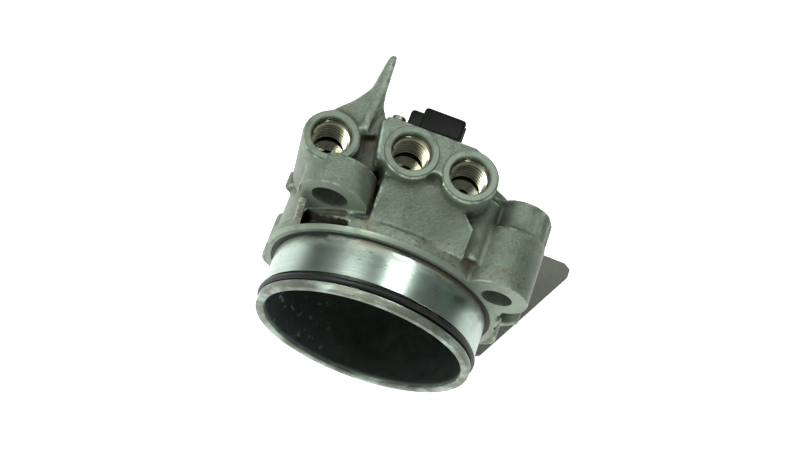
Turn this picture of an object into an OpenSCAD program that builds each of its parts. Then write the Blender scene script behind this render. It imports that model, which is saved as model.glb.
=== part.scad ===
// Electronic throttle body: cast housing with an O-ring spigot, three threaded
// ports, a butterfly on a cross shaft and a geared actuator underneath.
// X runs across the bore, +Y runs along the bore away from the spigot mouth,
// and +Z is the way the threaded ports face.

/* [Bore and spigot] */
// Diameter of the air bore
bore_d = 80; // [70:1:81]
// Outside diameter of the spigot
spigot_d = 87; // [86:0.5:92]
// Length of the spigot, mouth to flange face
spigot_len = 23; // [18:0.5:30]
// Distance from the mouth to the middle of the O-ring groove
groove_y = 5.3; // [4:0.1:9]
// Width of the O-ring groove
groove_w = 3.9; // [3:0.1:5]
// Radial depth of the O-ring groove
groove_depth = 2.2; // [1.8:0.1:2.4]
// How far the fitted O-ring stands above the spigot
o_ring_proud = 0.2; // [0.1:0.05:0.25]

/* [Flange and bolts] */
// Diameter of the mounting flange
flange_d = 96; // [95:1:104]
// Thickness of the mounting flange
flange_t = 6.2; // [4:0.2:8]
// Wall between the bore and the outside of the barrel
barrel_wall = 6.5; // [5:0.5:8]
// Length of the casting, mouth to rear face
body_len = 64; // [63:1:72]
// Diameter of the circle through the three mounting bolts
bolt_circle_d = 106.5; // [104:0.5:112]
// Angles of the three mounting bolts round the bore
bolt_angles = [38.5, 236, 304]; // [0:0.5:360]
// Diameter of the mounting bolt holes
bolt_hole_d = 12; // [8:0.5:12.5]
// Distance from the mouth to the set-back boss face
step_face_y = 32; // [31:0.5:36]
// Diameter of the blind hole in the set-back boss
step_hole_d = 14; // [8:0.5:14.5]
// Depth of the blind hole in the set-back boss
step_hole_depth = 11; // [6:0.5:11.5]

/* [Ports] */
// Height of the faces of the two middle ports above the bore axis
port_face_z = 60; // [59:0.5:66]
// Height of the face of the side port above the bore axis
side_port_face_z = 57; // [55:0.5:60]
// Minor diameter of the port threads
port_thread_d = 12.4; // [10:0.1:12.8]
// Diameter of the mouth of each port
port_mouth_d = 15.2; // [13:0.2:16]
// Diameter of the machined ring round each port
port_ring_d = 20.4; // [18:0.2:22]
// Depth of each port, face to seat
port_depth = 18.5; // [15:0.5:19]
// Diameter of the drilling below each port
port_drill_d = 6.2; // [3:0.2:7]

/* [Shaft and butterfly] */
// Distance from the mouth to the shaft axis
shaft_y = 44.5; // [43.5:0.5:44.5]
// Diameter of the throttle shaft
shaft_d = 10; // [8:0.5:10]
// Thickness of the butterfly
butterfly_t = 2.4; // [1.6:0.2:3]
// Radial gap between the butterfly and the bore
butterfly_gap = 0.15; // [0.1:0.05:0.5]
// Distance between the two butterfly screws
butterfly_screw_gap = 30; // [20:1:40]
// Running clearance of the shaft, on the radius
running_gap = 0.03; // [0.02:0.01:0.08]

/* [Actuator] */
// Width of the gear case
case_w = 68; // [66:1:76]
// Length of the gear case along the bore
case_len = 60; // [59:1:66]
// Depth of the gear case below its gasket
case_depth = 29; // [28:0.5:36]
// Wall of the gear case
case_wall = 3; // [2:0.2:3.4]
// Thickness of the steel bracket plate
plate_t = 2; // [1.5:0.5:4]
// Thickness of the case gasket
gasket_t = 1; // [0.5:0.1:2]
// Module of all the gears
gear_module = 0.8; // [0.7:0.05:0.8]
// Teeth on the motor pinion
pinion_teeth = 12; // [11:1:13]
// Teeth on the large ring of the intermediate gear
big_teeth = 36; // [33:1:37]
// Teeth on the small ring of the intermediate gear
small_teeth = 13; // [12:1:14]
// Teeth on a full turn of the sector gear
sector_teeth = 52; // [48:1:54]
// Diameter of the motor can
motor_d = 28; // [24:0.5:28]

/* [Pressure sensor] */
// Width of the sensor's plug socket
socket_w = 16.4; // [14:0.2:20]
// Height of the sensor's plug socket
socket_h = 10; // [9:0.5:11]
// Wall of the plug sockets
socket_wall = 1.4; // [1:0.1:1.8]

/* [Hidden] */
$fn = 96;
eps = 0.01;
overrun = 1;

// Bore and spigot
bore_r = bore_d / 2;
spigot_r = spigot_d / 2;
mouth_chamfer = 0.8;
groove_floor_r = spigot_r - groove_depth;
o_ring_section_r = (groove_depth + o_ring_proud) / 2;
root_groove_w = 1.8;
root_groove_depth = 1.5;
root_relief = 0.5;

// Flange, barrel and bolts
flange_y = spigot_len;
flange_r = flange_d / 2;
flange_chamfer_l = 2;
flange_chamfer_r = 0.8;
barrel_r = bore_r + barrel_wall;
bolt_r = bolt_circle_d / 2;
bolts = [for (a = bolt_angles) [bolt_r * cos(a), bolt_r * sin(a)]];
right_boss_r = 12.5;
right_tower_r = 10.9;
right_boss_len = 24;
low_tower_r = 11;
side_lobe_r = 9;
side_lobe_z = -16;
side_lobe_len = 19.5;
tower_setback = 4;
step_arch = [-28.4, 45.5];
step_arch_r = 13.5;
step_half_w = 11.8;
step_wall = 4.5;
step_len = 13;
step_hole = [-29.6, 46.5];
kidney_w = 17;
rear_clear_z = 48;

// Ports
ring_r = port_ring_d / 2;
port_boss_r = ring_r + 0.5;
side_port = [-36.7, 51.2];
left_port = [-7, 55];
right_port = [16.1, 53.9];
thread_r = port_thread_d / 2;
mouth_depth = 3.5;
undercut_r = thread_r + 0.9;
undercut_l = 3;
seat_drop = 1.5;
gallery_angle = 50;
gallery_l = 26;

// Shaft stack, heights down from the bore
shaft_r = shaft_d / 2;
journal_r = shaft_r - 1.5;
bush_wall = 1;
bush_len = 7;
slot_gap = 0.05;
seal_len = 2.5;
seal_r = shaft_r + 3;
seal_top_z = -bore_r - 2;
bearing_len = 5;
bearing_r = shaft_r + 4.5;
bearing_top_z = seal_top_z - seal_len;
spring_room_z = bearing_top_z - bearing_len;
spring_room_r = shaft_r + 7;
pad_z = spring_room_z - 7.5;
plate_z = pad_z - plate_t;
gasket_z = plate_z - gasket_t;
case_front_y = shaft_y - 14;
case_z = gasket_z - case_depth;
case_corner_r = 8;
floor_z = case_z + case_wall;
pad_front_y = case_front_y + 0.5;

// Gear train
drive_angle = 65;
motor_angle = 190;
sector_gap = 1.2;
sector_t = 4;
sector_top_z = gasket_z - sector_gap;
sector_z = sector_top_z - sector_t;
big_t = 3.8;
big_top_z = sector_z - sector_gap;
big_z = big_top_z - big_t;
pitch_r = gear_module / 2;
cam_distance = (sector_teeth + small_teeth) * pitch_r;
motor_distance = (big_teeth + pinion_teeth) * pitch_r;
big_tip_r = (big_teeth + 2) * pitch_r;
tip_room = 0.7;
idler = [cam_distance * cos(drive_angle), shaft_y + cam_distance * sin(drive_angle)];
motor = [idler[0] + motor_distance * cos(motor_angle), idler[1] + motor_distance * sin(motor_angle)];
backlash = 0.16;
mesh_tooth_sector = 1;
sector_count = 15;
sector_start = drive_angle + 360 / sector_teeth * (mesh_tooth_sector - sector_count + 1);
small_phase = drive_angle + 180 + 180 / small_teeth;
big_phase = motor_angle;
pinion_phase = motor_angle + 180 + 180 / pinion_teeth;
hub_r = shaft_r + 2.5;
axle_r = 2;
axle_bore_r = axle_r + running_gap;
nut_h = 3.2;
magnet_r = 2.8;
magnet_h = 1.5;
shaft_low_z = sector_z - nut_h;
shoulder_z = sqrt(bore_r * bore_r - shaft_r * shaft_r) - 0.2;

// Motor
motor_r = motor_d / 2;
post_r = min(axle_r + 1.4, motor_distance - motor_r - 0.4);
board_rear_y = min(shaft_y + 4, motor[1] - motor_r - 0.5);
motor_top_z = big_z - 1.6;
motor_wall = 1;
motor_cap_t = 1;
motor_shaft_r = 1.2;
rotor_r = motor_r - motor_wall - 2.4;
can_floor_z = floor_z + 0.2;

// Screws
m5_r = 2.5;
m5_hole_r = 2.7;
screw_inset = 6;
case_screws_at = [for (x = [-1, 1], y = [case_front_y + screw_inset, case_front_y + 22])
                  [x * (case_w / 2 - screw_inset), y]];
plate_screws_at = [for (x = [-1, 1]) [x * (case_w / 2 - screw_inset), case_front_y + case_len - screw_inset]];
screw_head_r = 4;
screw_head_h = 3;
screw_reach = 5.5;
m3_r = 1.5;
dowels_at = [for (x = [-1, 1]) [x * (case_w / 2 - screw_inset), case_front_y + 15]];
dowel_r = 1.5;

// Sensor and case connector
sensor_axis = [0.4, 53.5];
nozzle_x = 4.6;
sensor_face_y = left_port[1] + port_boss_r;
sensor_plate_t = 2.5;
socket_len = 7.5;
nozzle_r = 2.7;
nozzle_len = 8;
nozzle_room = 0.2;
pin_w = 0.8;
pin_len = 5;
sensor_screw = [-15.8, 51.5];
case_socket_w = 20;
case_socket_h = 10;
case_socket_len = 16;
case_socket_z = gasket_z - case_depth / 2;
case_socket_x = -16;

// A cylinder along Y
module cyl_y(r, y0, y1, x = 0, z = 0) {
    translate([x, y0, z]) rotate([-90, 0, 0]) cylinder(r = r, h = y1 - y0);
}

// A cylinder along Z
module cyl_z(r, z0, z1, x = 0, y = 0) {
    translate([x, y, z0]) cylinder(r = r, h = z1 - z0);
}

// A ring along Z with a plain hole
module ring_z(r_out, r_in, z0, z1, x = 0, y = 0) {
    difference() {
        cyl_z(r_out, z0, z1, x, y);
        cyl_z(r_in, z0 - overrun, z1 + overrun, x, y);
    }
}

// A box from its lowest to its highest corner
module box(low, high) {
    translate(low) cube(high - low);
}

// A slab with four round corners, from z0 to z1
module rounded_slab(x0, x1, y0, y1, z0, z1, r) {
    box([x0 + r, y0, z0], [x1 - r, y1, z1]);
    box([x0, y0 + r, z0], [x1, y1 - r, z1]);
    for (x = [x0 + r, x1 - r], y = [y0 + r, y1 - r]) cyl_z(r, z0, z1, x, y);
}

// Involute of a circle: the angle swept where the flank reaches radius r
function involute_at(base, r) =
    r <= base ? 0 : sqrt(r * r / (base * base) - 1) * 180 / PI - acos(base / r);

// One tooth's points, centred on the given angle
function tooth(teeth, angle) =
    let (pitch = teeth * pitch_r,
         base = pitch * cos(20),
         top = pitch + gear_module * 0.95,
         root = pitch - gear_module * 1.2,
         low = max(base, root),
         half = 90 / teeth - backlash / 2 / pitch * 180 / PI / 2 + involute_at(base, pitch),
         steps = 4,
         radii = [for (i = [0:steps]) low + (top - low) * i / steps])
    concat([[root * cos(angle - half), root * sin(angle - half)]],
           [for (r = radii) let (a = angle - half + involute_at(base, r)) [r * cos(a), r * sin(a)]],
           [for (i = [steps:-1:0]) let (r = radii[i], a = angle + half - involute_at(base, r))
            [r * cos(a), r * sin(a)]],
           [[root * cos(angle + half), root * sin(angle + half)]]);

// The outline of a whole gear, with one tooth centred on the phase angle
function gear_points(teeth, phase) =
    [for (i = [0:teeth - 1]) each tooth(teeth, phase + 360 / teeth * i)];

// A spur gear from z0 to z1
module spur(teeth, phase, z0, z1) {
    translate([0, 0, z0]) linear_extrude(z1 - z0) polygon(gear_points(teeth, phase));
}

// A cap screw pointing up, with its head below the seat at z
module screw_up(r, reach, z, at, head_r, head_h) {
    difference() {
        union() {
            cyl_z(r, z - eps, z + reach, at[0], at[1]);
            cyl_z(head_r, z - head_h, z, at[0], at[1]);
        }
        translate([at[0], at[1], z - head_h - overrun]) cylinder(r = head_r * 0.55, h = overrun + head_h / 2, $fn = 6);
    }
}

// The hollow of a port: mouth, thread, undercut, seat and drilling
module port_cut(at, face_z, drill_z) {
    seat_z = face_z - port_depth;
    cyl_z(thread_r, seat_z, face_z + overrun, at[0], at[1]);
    cyl_z(port_mouth_d / 2, face_z - mouth_depth, face_z + overrun, at[0], at[1]);
    cyl_z(undercut_r, seat_z, seat_z + undercut_l, at[0], at[1]);
    cyl_z(port_drill_d / 2, drill_z, seat_z + overrun, at[0], at[1]);
    translate([at[0], at[1], seat_z - seat_drop])
        cylinder(r1 = port_drill_d / 2, r2 = port_drill_d / 2 + seat_drop, h = seat_drop + eps);
}

// Boss, machined ring and root of a port
module port_boss(at, face_z, low_z) {
    cyl_z(ring_r, face_z - 1, face_z, at[0], at[1]);
    cyl_z(port_boss_r, low_z, face_z - 0.5, at[0], at[1]);
}

// The spigot, flange and barrel as one turned outline round the bore
module barrel() {
    cyl_y(spigot_r, mouth_chamfer, flange_y + 1);
    translate([0, 0, 0]) rotate([-90, 0, 0])
        cylinder(r1 = spigot_r - mouth_chamfer, r2 = spigot_r, h = mouth_chamfer);
    translate([0, flange_y, 0]) rotate([-90, 0, 0])
        cylinder(r1 = flange_r - flange_chamfer_r, r2 = flange_r, h = flange_chamfer_l);
    cyl_y(flange_r, flange_y + flange_chamfer_l, flange_y + flange_t);
    cyl_y(barrel_r, flange_y + 2, body_len);
}

// The fairing that covers the upper shaft bush and rises to the ports
module fairing() {
    rear_y = left_port[1] - port_boss_r + 5;
    top_z = port_face_z - 5.5;
    translate([left_port[0] - 9, 0, 0]) rotate([90, 0, 90]) linear_extrude(40)
        polygon([[flange_y + 4, 20], [flange_y + 4, barrel_r - 0.2], [flange_y + flange_t + 1, barrel_r - 0.2],
                 [rear_y - 4, top_z], [rear_y, top_z], [rear_y, 20]]);
}

// The three port bosses and the block that joins them
module port_block() {
    port_boss(left_port, port_face_z, 30);
    port_boss(right_port, port_face_z, 30);
    port_boss(side_port, side_port_face_z, 18);
    rear = left_port[1] + port_boss_r;
    box([left_port[0], left_port[1] - 6, 34], [right_port[0], rear, port_face_z - 0.5]);
    box([-21, left_port[1] - 8, 34], [left_port[0], rear, port_face_z - 0.5]);
    box([side_port[0] + 2, side_port[1] - 8, 30], [-20, rear - 2, side_port_face_z - 6]);
}

// The thin web behind the side port and the blade that stands out from it
module web_and_blade() {
    top_z = side_port_face_z - 1;
    translate([0, 0, top_z - 4]) linear_extrude(4)
        polygon([[side_port[0] - 6.5, side_port[1] + 8], [-33.8, 69.7], [-28.6, 78.2], [-24.2, 78.2],
                 [-23.8, 73], [-20.5, 67.6], [-18, 56], [side_port[0], 56]]);
    translate([0, 0, top_z - 6]) linear_extrude(7)
        polygon([[-28.7, 64], [-28.6, 78], [-26.4, 92], [-24.8, 91], [-24.2, 76], [-24.4, 64]]);
}

// The right-hand bolt tower with its larger front boss, and the lip below it
module right_tower() {
    at = bolts[0];
    cyl_y(right_boss_r, flange_y, flange_y + right_boss_len, at[0], at[1]);
    cyl_y(right_tower_r, flange_y + 1, body_len - tower_setback, at[0], at[1]);
    box([at[0] - 14, flange_y + 3, 16], [at[0], body_len - tower_setback, at[1] + 6]);
    box([at[0] - 4, flange_y + 2, 2], [at[0] + right_boss_r, flange_y + 20, 5]);
}

// The set-back boss below the side port
module step_tower() {
    x = step_arch[0];
    z = step_arch[1];
    low_z = 15;
    cyl_y(step_arch_r, step_face_y, step_face_y + step_len, x, z);
    for (left = [x - step_half_w, x + step_half_w - step_wall])
        box([left, flange_y + 4, low_z + 4], [left + step_wall, step_face_y + 2, z - 3]);
    box([x - step_half_w, step_face_y, low_z], [x + step_half_w, step_face_y + step_len, z + 1]);
    box([x - step_half_w, step_face_y, low_z], [x + step_half_w, body_len - tower_setback - 2, z - 7]);
}

// The two lower bolt towers, the lobes on both sides and the pad for the actuator
module underside() {
    for (at = [bolts[1], bolts[2]]) {
        cyl_y(low_tower_r, flange_y, body_len - tower_setback, at[0], at[1]);
        box([min(at[0], at[0] * 0.7), flange_y + 2, at[1] * 0.7 - 6],
            [max(at[0], at[0] * 0.7), body_len - tower_setback, at[1] * 0.7 + 6]);
    }
    for (side = [-1, 1])
        cyl_y(side_lobe_r, flange_y + 2.5, flange_y + 2.5 + side_lobe_len, side * (barrel_r - side_lobe_r / 2), side_lobe_z);
    rounded_slab(-case_w / 2, case_w / 2, pad_front_y, body_len - 0.5, pad_z, -30, 6);
}

// The one-piece aluminium casting
module housing() {
    color("darkseagreen") difference() {
        union() {
            barrel();
            fairing();
            port_block();
            web_and_blade();
            right_tower();
            step_tower();
            underside();
            cyl_y(4, shaft_y - 2, shaft_y + 6, -barrel_r - 0.4, 12);
        }
        cyl_y(bore_r, -overrun, body_len + overrun);
        box([-60, body_len, -60], [60, 80, rear_clear_z]);
        box([-60, case_front_y - overrun, pad_z - 40], [60, body_len + overrun, pad_z]);
        translate([0, -eps, 0]) rotate([-90, 0, 0])
            cylinder(r1 = bore_r + mouth_chamfer, r2 = bore_r, h = mouth_chamfer * 2);
        difference() {
            cyl_y(spigot_r + overrun, groove_y - groove_w / 2, groove_y + groove_w / 2);
            cyl_y(groove_floor_r, 0, groove_y + groove_w);
        }
        difference() {
            cyl_y(spigot_r + root_groove_w, flange_y - overrun, flange_y + root_groove_depth);
            cyl_y(spigot_r - root_relief, 0, flange_y + 4);
        }
        for (at = bolts) cyl_y(bolt_hole_d / 2, flange_y - overrun, body_len + overrun, at[0], at[1]);
        cyl_y(step_hole_d / 2, step_face_y - overrun, step_face_y + step_hole_depth, step_hole[0], step_hole[1]);
        kidney();
        port_cut(left_port, port_face_z, bore_r - 6);
        port_cut(right_port, port_face_z, bore_r - 10);
        port_cut(side_port, side_port_face_z, side_port_face_z - port_depth - 5);
        translate([side_port[0], side_port[1], side_port_face_z - port_depth - 3])
            rotate([0, 180 - gallery_angle, 0]) cylinder(r = 2.5, h = gallery_l);
        shaft_bores();
        case_fixings();
        sensor_bores();
        rear_groove();
    }
}

// The pocket between the flange and the set-back bolt block
module kidney() {
    x = step_arch[0];
    difference() {
        box([x - kidney_w / 2, flange_y + flange_t + 0.1, 15],
            [x + kidney_w / 2, step_face_y + 6, step_hole[1] - step_hole_d / 2 - 4]);
        cyl_y(bore_r + 3, 0, body_len);
    }
}

// The stepped bore for the shaft, its bush, seal, bearing and spring
module shaft_bores() {
    cyl_z(journal_r + bush_wall, 30, bore_r + bush_len + 0.5, 0, shaft_y);
    cyl_z(shaft_r + 0.3, pad_z - overrun, -30, 0, shaft_y);
    cyl_z(seal_r, bearing_top_z - overrun, seal_top_z, 0, shaft_y);
    cyl_z(bearing_r, spring_room_z - overrun, bearing_top_z, 0, shaft_y);
    cyl_z(spring_room_r, pad_z - overrun, spring_room_z, 0, shaft_y);
}

// Threaded holes and dowel holes in the actuator pad
module case_fixings() {
    for (at = case_screws_at) cyl_z(m5_r, pad_z - overrun, pad_z + screw_reach, at[0], at[1]);
    for (at = dowels_at) cyl_z(dowel_r, pad_z - overrun, pad_z + 4, at[0], at[1]);
}

// The pocket for the sensor's nozzle, its drilling and its screw hole
module sensor_bores() {
    deep_y = sensor_face_y - nozzle_len - 1.5;
    cyl_y(nozzle_r + nozzle_room, deep_y, sensor_face_y + overrun, nozzle_x, sensor_axis[1]);
    cyl_z(1.5, bore_r - 3, sensor_axis[1], nozzle_x, deep_y + 3);
    cyl_y(m3_r, sensor_face_y - 6, sensor_face_y + overrun, sensor_screw[0], sensor_screw[1]);
}

// The face groove for the rear seal
module rear_groove() {
    difference() {
        cyl_y(bore_r + 4.4, body_len - 1.9, body_len + overrun);
        cyl_y(bore_r + 2, body_len - 3, body_len + 2);
    }
}

// The squeezed O-ring on the spigot
module spigot_o_ring() {
    color("black") translate([0, groove_y, 0]) rotate([-90, 0, 0])
        rotate_extrude() translate([groove_floor_r + o_ring_section_r, 0]) circle(r = o_ring_section_r, $fn = 32);
}

// The flat seal in the corner of spigot and flange
module root_seal() {
    color("dimgray") difference() {
        cyl_y(spigot_r + root_groove_w - 0.1, flange_y + 0.1, flange_y + root_groove_depth - 0.02);
        cyl_y(spigot_r - root_relief + 0.1, flange_y - overrun, flange_y + 3);
    }
}

// The seal in the rear face
module rear_seal() {
    color("black") translate([0, body_len - 0.95, 0]) rotate([-90, 0, 0])
        rotate_extrude() translate([bore_r + 3.2, 0]) circle(r = 0.92, $fn = 32);
}

// The bush that carries the upper end of the shaft
module upper_bush() {
    color("darkgoldenrod")
        ring_z(journal_r + bush_wall, journal_r + running_gap, bore_r + 0.3, bore_r + bush_len, 0, shaft_y);
}

// Profile of half a ball bearing ring, cut by the ball track
module bearing_ring(r_in, r_out) {
    track_r = (shaft_r + bearing_r) / 2;
    translate([0, shaft_y, bearing_top_z - bearing_len]) rotate_extrude() difference() {
        translate([r_in, 0.05]) square([r_out - r_in, bearing_len - 0.1]);
        translate([track_r, bearing_len / 2]) circle(r = 1.55, $fn = 32);
    }
}

// The outer ring, pressed into the housing
module bearing_outer_ring() {
    color("silver") bearing_ring((shaft_r + bearing_r) / 2 + 0.7, bearing_r);
}

// The inner ring, pressed onto the shaft
module bearing_inner_ring() {
    color("silver") bearing_ring(shaft_r, (shaft_r + bearing_r) / 2 - 0.7);
}

// The ring of balls
module bearing_balls() {
    track_r = (shaft_r + bearing_r) / 2;
    balls = 10;
    color("gainsboro") for (i = [0:balls - 1])
        translate([track_r * cos(360 / balls * i), shaft_y + track_r * sin(360 / balls * i),
                   bearing_top_z - bearing_len / 2]) sphere(r = 1.5, $fn = 32);
}

// The lip seal above the bearing
module shaft_seal() {
    color("black") ring_z(seal_r, shaft_r + 0.06, bearing_top_z + 0.1, seal_top_z, 0, shaft_y);
}

// The slotted throttle shaft
module throttle_shaft() {
    color("silver") difference() {
        union() {
            cyl_z(shaft_r, sector_z, shoulder_z, 0, shaft_y);
            cyl_z(journal_r, shoulder_z - 1, bore_r + bush_len - 0.2, 0, shaft_y);
            cyl_z(journal_r, shaft_low_z, sector_z + 1, 0, shaft_y);
        }
        box([-shaft_r - 1, shaft_y - butterfly_t / 2 - slot_gap, -bore_r + 0.6],
            [shaft_r + 1, shaft_y + butterfly_t / 2 + slot_gap, bore_r - 0.6]);
        for (z = [-1, 1]) {
            cyl_y(2.05, shaft_y - shaft_r - 1, shaft_y + shaft_r + 1, 0, z * butterfly_screw_gap / 2);
            cyl_y(3.9, shaft_y - shaft_r - 1, shaft_y - shaft_r + 1.2, 0, z * butterfly_screw_gap / 2);
        }
    }
}

// The disc that closes the bore
module butterfly() {
    color("darkkhaki") intersection() {
        difference() {
            cyl_y(bore_r - butterfly_gap, shaft_y - butterfly_t / 2, shaft_y + butterfly_t / 2);
            for (z = [-1, 1]) cyl_y(2.05, shaft_y - 5, shaft_y + 5, 0, z * butterfly_screw_gap / 2);
        }
        box([-bore_r, shaft_y - 5, -bore_r + 0.65], [bore_r, shaft_y + 5, bore_r - 0.65]);
    }
}

// The two screws through shaft and disc
module butterfly_screws() {
    color("dimgray") for (z = [-1, 1]) {
        cyl_y(1.95, shaft_y - shaft_r + 1, shaft_y + shaft_r, 0, z * butterfly_screw_gap / 2);
        cyl_y(3.6, shaft_y - shaft_r - 0.6, shaft_y - shaft_r + 1.15, 0, z * butterfly_screw_gap / 2);
    }
}

// The toothed sector clamped on the lower end of the shaft
module sector_gear() {
    outer = sector_teeth * pitch_r + gear_module;
    root = sector_teeth * pitch_r - gear_module * 1.2;
    last = sector_start + 360 / sector_teeth * (sector_count - 1);
    rim = [for (i = [0:sector_count - 1]) each tooth(sector_teeth, sector_start + 360 / sector_teeth * i)];
    inner = root - 3.2;
    color("ivory") translate([0, shaft_y, 0]) difference() {
        union() {
            translate([0, 0, sector_z]) linear_extrude(sector_t)
                polygon(concat(rim, [[hub_r * 0.6 * cos(last + 60), hub_r * 0.6 * sin(last + 60)],
                                     [hub_r * 0.6 * cos(sector_start - 60), hub_r * 0.6 * sin(sector_start - 60)]]));
            cyl_z(hub_r, sector_z, sector_top_z + 5);
        }
        for (i = [0:2]) let (a = sector_start + (last - sector_start) * (i + 0.5) / 3)
            cyl_z(2.6, sector_z - 1, sector_top_z + 1, (hub_r + inner) / 2 * cos(a), (hub_r + inner) / 2 * sin(a));
        cyl_z(shaft_r, sector_z - 1, sector_top_z + 6);
    }
}

// The nut that holds the sector
module sector_nut() {
    color("dimgray") difference() {
        translate([0, shaft_y, shaft_low_z]) cylinder(r = journal_r + 2.6, h = nut_h - 0.05, $fn = 6);
        cyl_z(journal_r, shaft_low_z - 1, sector_z + 1, 0, shaft_y);
    }
}

// The magnet on the end of the shaft
module position_magnet() {
    color("darkslategray") cyl_z(magnet_r, shaft_low_z - magnet_h, shaft_low_z, 0, shaft_y);
}

// The torsion spring that closes the butterfly
module return_spring() {
    turns = 4;
    coil_r = spring_room_r - 2;
    wire_r = 0.7;
    low_z = sector_top_z + 2;
    rise = 7.5;
    sides = 8;
    per_turn = 24;
    rings = turns * per_turn;
    pts = [for (i = [0:rings]) let (a = 360 * i / per_turn, z = low_z + rise * i / rings)
           for (j = [0:sides - 1]) let (b = 360 * j / sides, r = coil_r + wire_r * cos(b))
           [r * cos(a), shaft_y + r * sin(a), z + wire_r * sin(b)]];
    walls = [for (i = [0:rings - 1], j = [0:sides - 1])
             [i * sides + j, i * sides + (j + 1) % sides, (i + 1) * sides + (j + 1) % sides, (i + 1) * sides + j]];
    ends = [[for (j = [sides - 1:-1:0]) j], [for (j = [0:sides - 1]) rings * sides + j]];
    color("slategray") polyhedron(points = pts, faces = concat([for (w = walls) [w[3], w[2], w[1], w[0]]],
        [for (e = ends) [for (k = [len(e) - 1:-1:0]) e[k]]]));
}

// The steel bracket plate between housing and gear case, with its side wing
module bracket_plate() {
    x0 = -case_w / 2 - 1;
    x1 = case_w / 2 + 1;
    y0 = case_front_y;
    y1 = case_front_y + case_len + 1;
    wing = [77, 87];
    color("gray") difference() {
        union() {
            rounded_slab(x0, x1, y0, y1, plate_z, pad_z, case_corner_r);
            translate([0, 0, plate_z]) linear_extrude(plate_t)
                polygon([[x1 - 12, y0], [47, y0 + 2], [51, y0 + 4], [wing[0], wing[1] - 4], [wing[0], wing[1]],
                         [wing[0] - 3, wing[1] + 2], [x1 - 12, wing[1] + 3]]);
        }
        cyl_z(spring_room_r, plate_z - overrun, pad_z + overrun, 0, shaft_y);
        cyl_z(axle_r + 0.05, plate_z - overrun, pad_z + overrun, idler[0], idler[1]);
        for (at = concat(case_screws_at, plate_screws_at))
            cyl_z(m5_hole_r, plate_z - overrun, pad_z + overrun, at[0], at[1]);
        for (at = dowels_at) cyl_z(dowel_r + 0.05, plate_z - overrun, pad_z + overrun, at[0], at[1]);
        cyl_z(4.5, plate_z - overrun, pad_z + overrun, wing[0] - 29, wing[1] - 7);
    }
}

// The gasket under the bracket plate
module case_gasket() {
    x = case_w / 2;
    color("black") difference() {
        rounded_slab(-x, x, case_front_y, case_front_y + case_len, gasket_z, plate_z, case_corner_r);
        case_room(gasket_z - overrun, plate_z + overrun);
        for (at = concat(case_screws_at, plate_screws_at))
            cyl_z(m5_hole_r, gasket_z - overrun, plate_z + overrun, at[0], at[1]);
        for (at = dowels_at) cyl_z(dowel_r + 0.3, gasket_z - overrun, plate_z + overrun, at[0], at[1]);
    }
}

// The room inside the gear case
module case_room(z0, z1) {
    x = case_w / 2 - case_wall;
    y0 = case_front_y + case_wall;
    y1 = case_front_y + case_len - case_wall;
    side = case_w / 2 - screw_inset - 5;
    box([-side, y0, z0], [side, y1, z1]);
    half = sqrt(pow(big_tip_r + tip_room, 2) - pow(side - idler[0], 2));
    box([-x, idler[1] - half, z0], [x, idler[1] + half, z1]);
}

// The tray that holds the gears and the motor
module gear_case() {
    x = case_w / 2;
    color("dimgray") difference() {
        union() {
            difference() {
                rounded_slab(-x, x, case_front_y, case_front_y + case_len, case_z, gasket_z, case_corner_r);
                case_room(floor_z, gasket_z + overrun);
            }
            cyl_z(post_r, floor_z - eps, big_z - 0.3, idler[0], idler[1]);
            motor_nest();
            for (x = [-1, 1]) cyl_z(2.6, floor_z - eps, board_z, x * 6, shaft_y - 3);
        }
        for (at = case_screws_at) {
            cyl_z(m5_hole_r, case_z - overrun, gasket_z + overrun, at[0], at[1]);
            cyl_z(screw_head_r + 0.3, case_z - overrun, case_z + screw_head_h + 1, at[0], at[1]);
        }
        for (at = plate_screws_at) cyl_z(m5_r, gasket_z - 12, gasket_z + overrun, at[0], at[1]);
        for (at = dowels_at) cyl_z(dowel_r + 0.05, gasket_z - 4, gasket_z + overrun, at[0], at[1]);
        cyl_z(axle_r, floor_z - 1.5, big_z, idler[0], idler[1]);
        for (x = [-1, 1]) cyl_z(0.9, floor_z + 1, board_z + overrun, x * 6, shaft_y - 3);
        connector_hole();
    }
}

// Height of the sensor board's posts
board_z = shaft_low_z - magnet_h - 2.2;

// The round nest that the motor stands in
module motor_nest() {
    intersection() {
        ring_z(motor_r + 1.5, motor_r + 0.1, floor_z - eps, floor_z + 5, motor[0], motor[1]);
        translate([motor[0] - 40, motor[1] - 40, floor_z - 1]) cube([40 + 12, 80, 8]);
    }
}

// The hole in the case's side for its connector
module connector_hole() {
    wall_y = case_front_y + case_len;
    box([case_socket_x - 7, wall_y - case_wall - overrun, case_socket_z - 3],
        [case_socket_x + 7, wall_y + overrun, case_socket_z + 3]);
}

// The four screws that hold the case and the plate to the housing
module case_screws() {
    head_z = case_z + screw_head_h + 1;
    reach = pad_z + screw_reach - 0.8 - head_z;
    color("silver") for (at = case_screws_at) screw_up(m5_r - 0.05, reach, head_z, at, screw_head_r, screw_head_h);
}

// The two screws that hold the rear of the plate to the case
module plate_screws() {
    color("silver") for (at = plate_screws_at)
        translate([at[0], at[1], pad_z]) mirror([0, 0, 1])
            screw_up(m5_r - 0.05, 12, 0, [0, 0], screw_head_r, screw_head_h);
}

// The two locating pins
module dowel_pins() {
    color("silver") for (at = dowels_at) cyl_z(dowel_r - 0.02, gasket_z - 3.5, pad_z + 3.5, at[0], at[1]);
}

// The double gear between pinion and sector
module intermediate_gear() {
    color("ivory") translate([idler[0], idler[1], 0]) difference() {
        union() {
            spur(big_teeth, big_phase, big_z, big_top_z);
            spur(small_teeth, small_phase, big_top_z - 1, sector_top_z);
        }
        cyl_z(axle_bore_r, big_z - overrun, sector_top_z + overrun);
        for (i = [0:5]) cyl_z(2.2, big_z - overrun, big_top_z + overrun, 9.6 * cos(60 * i), 9.6 * sin(60 * i));
    }
}

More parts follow.
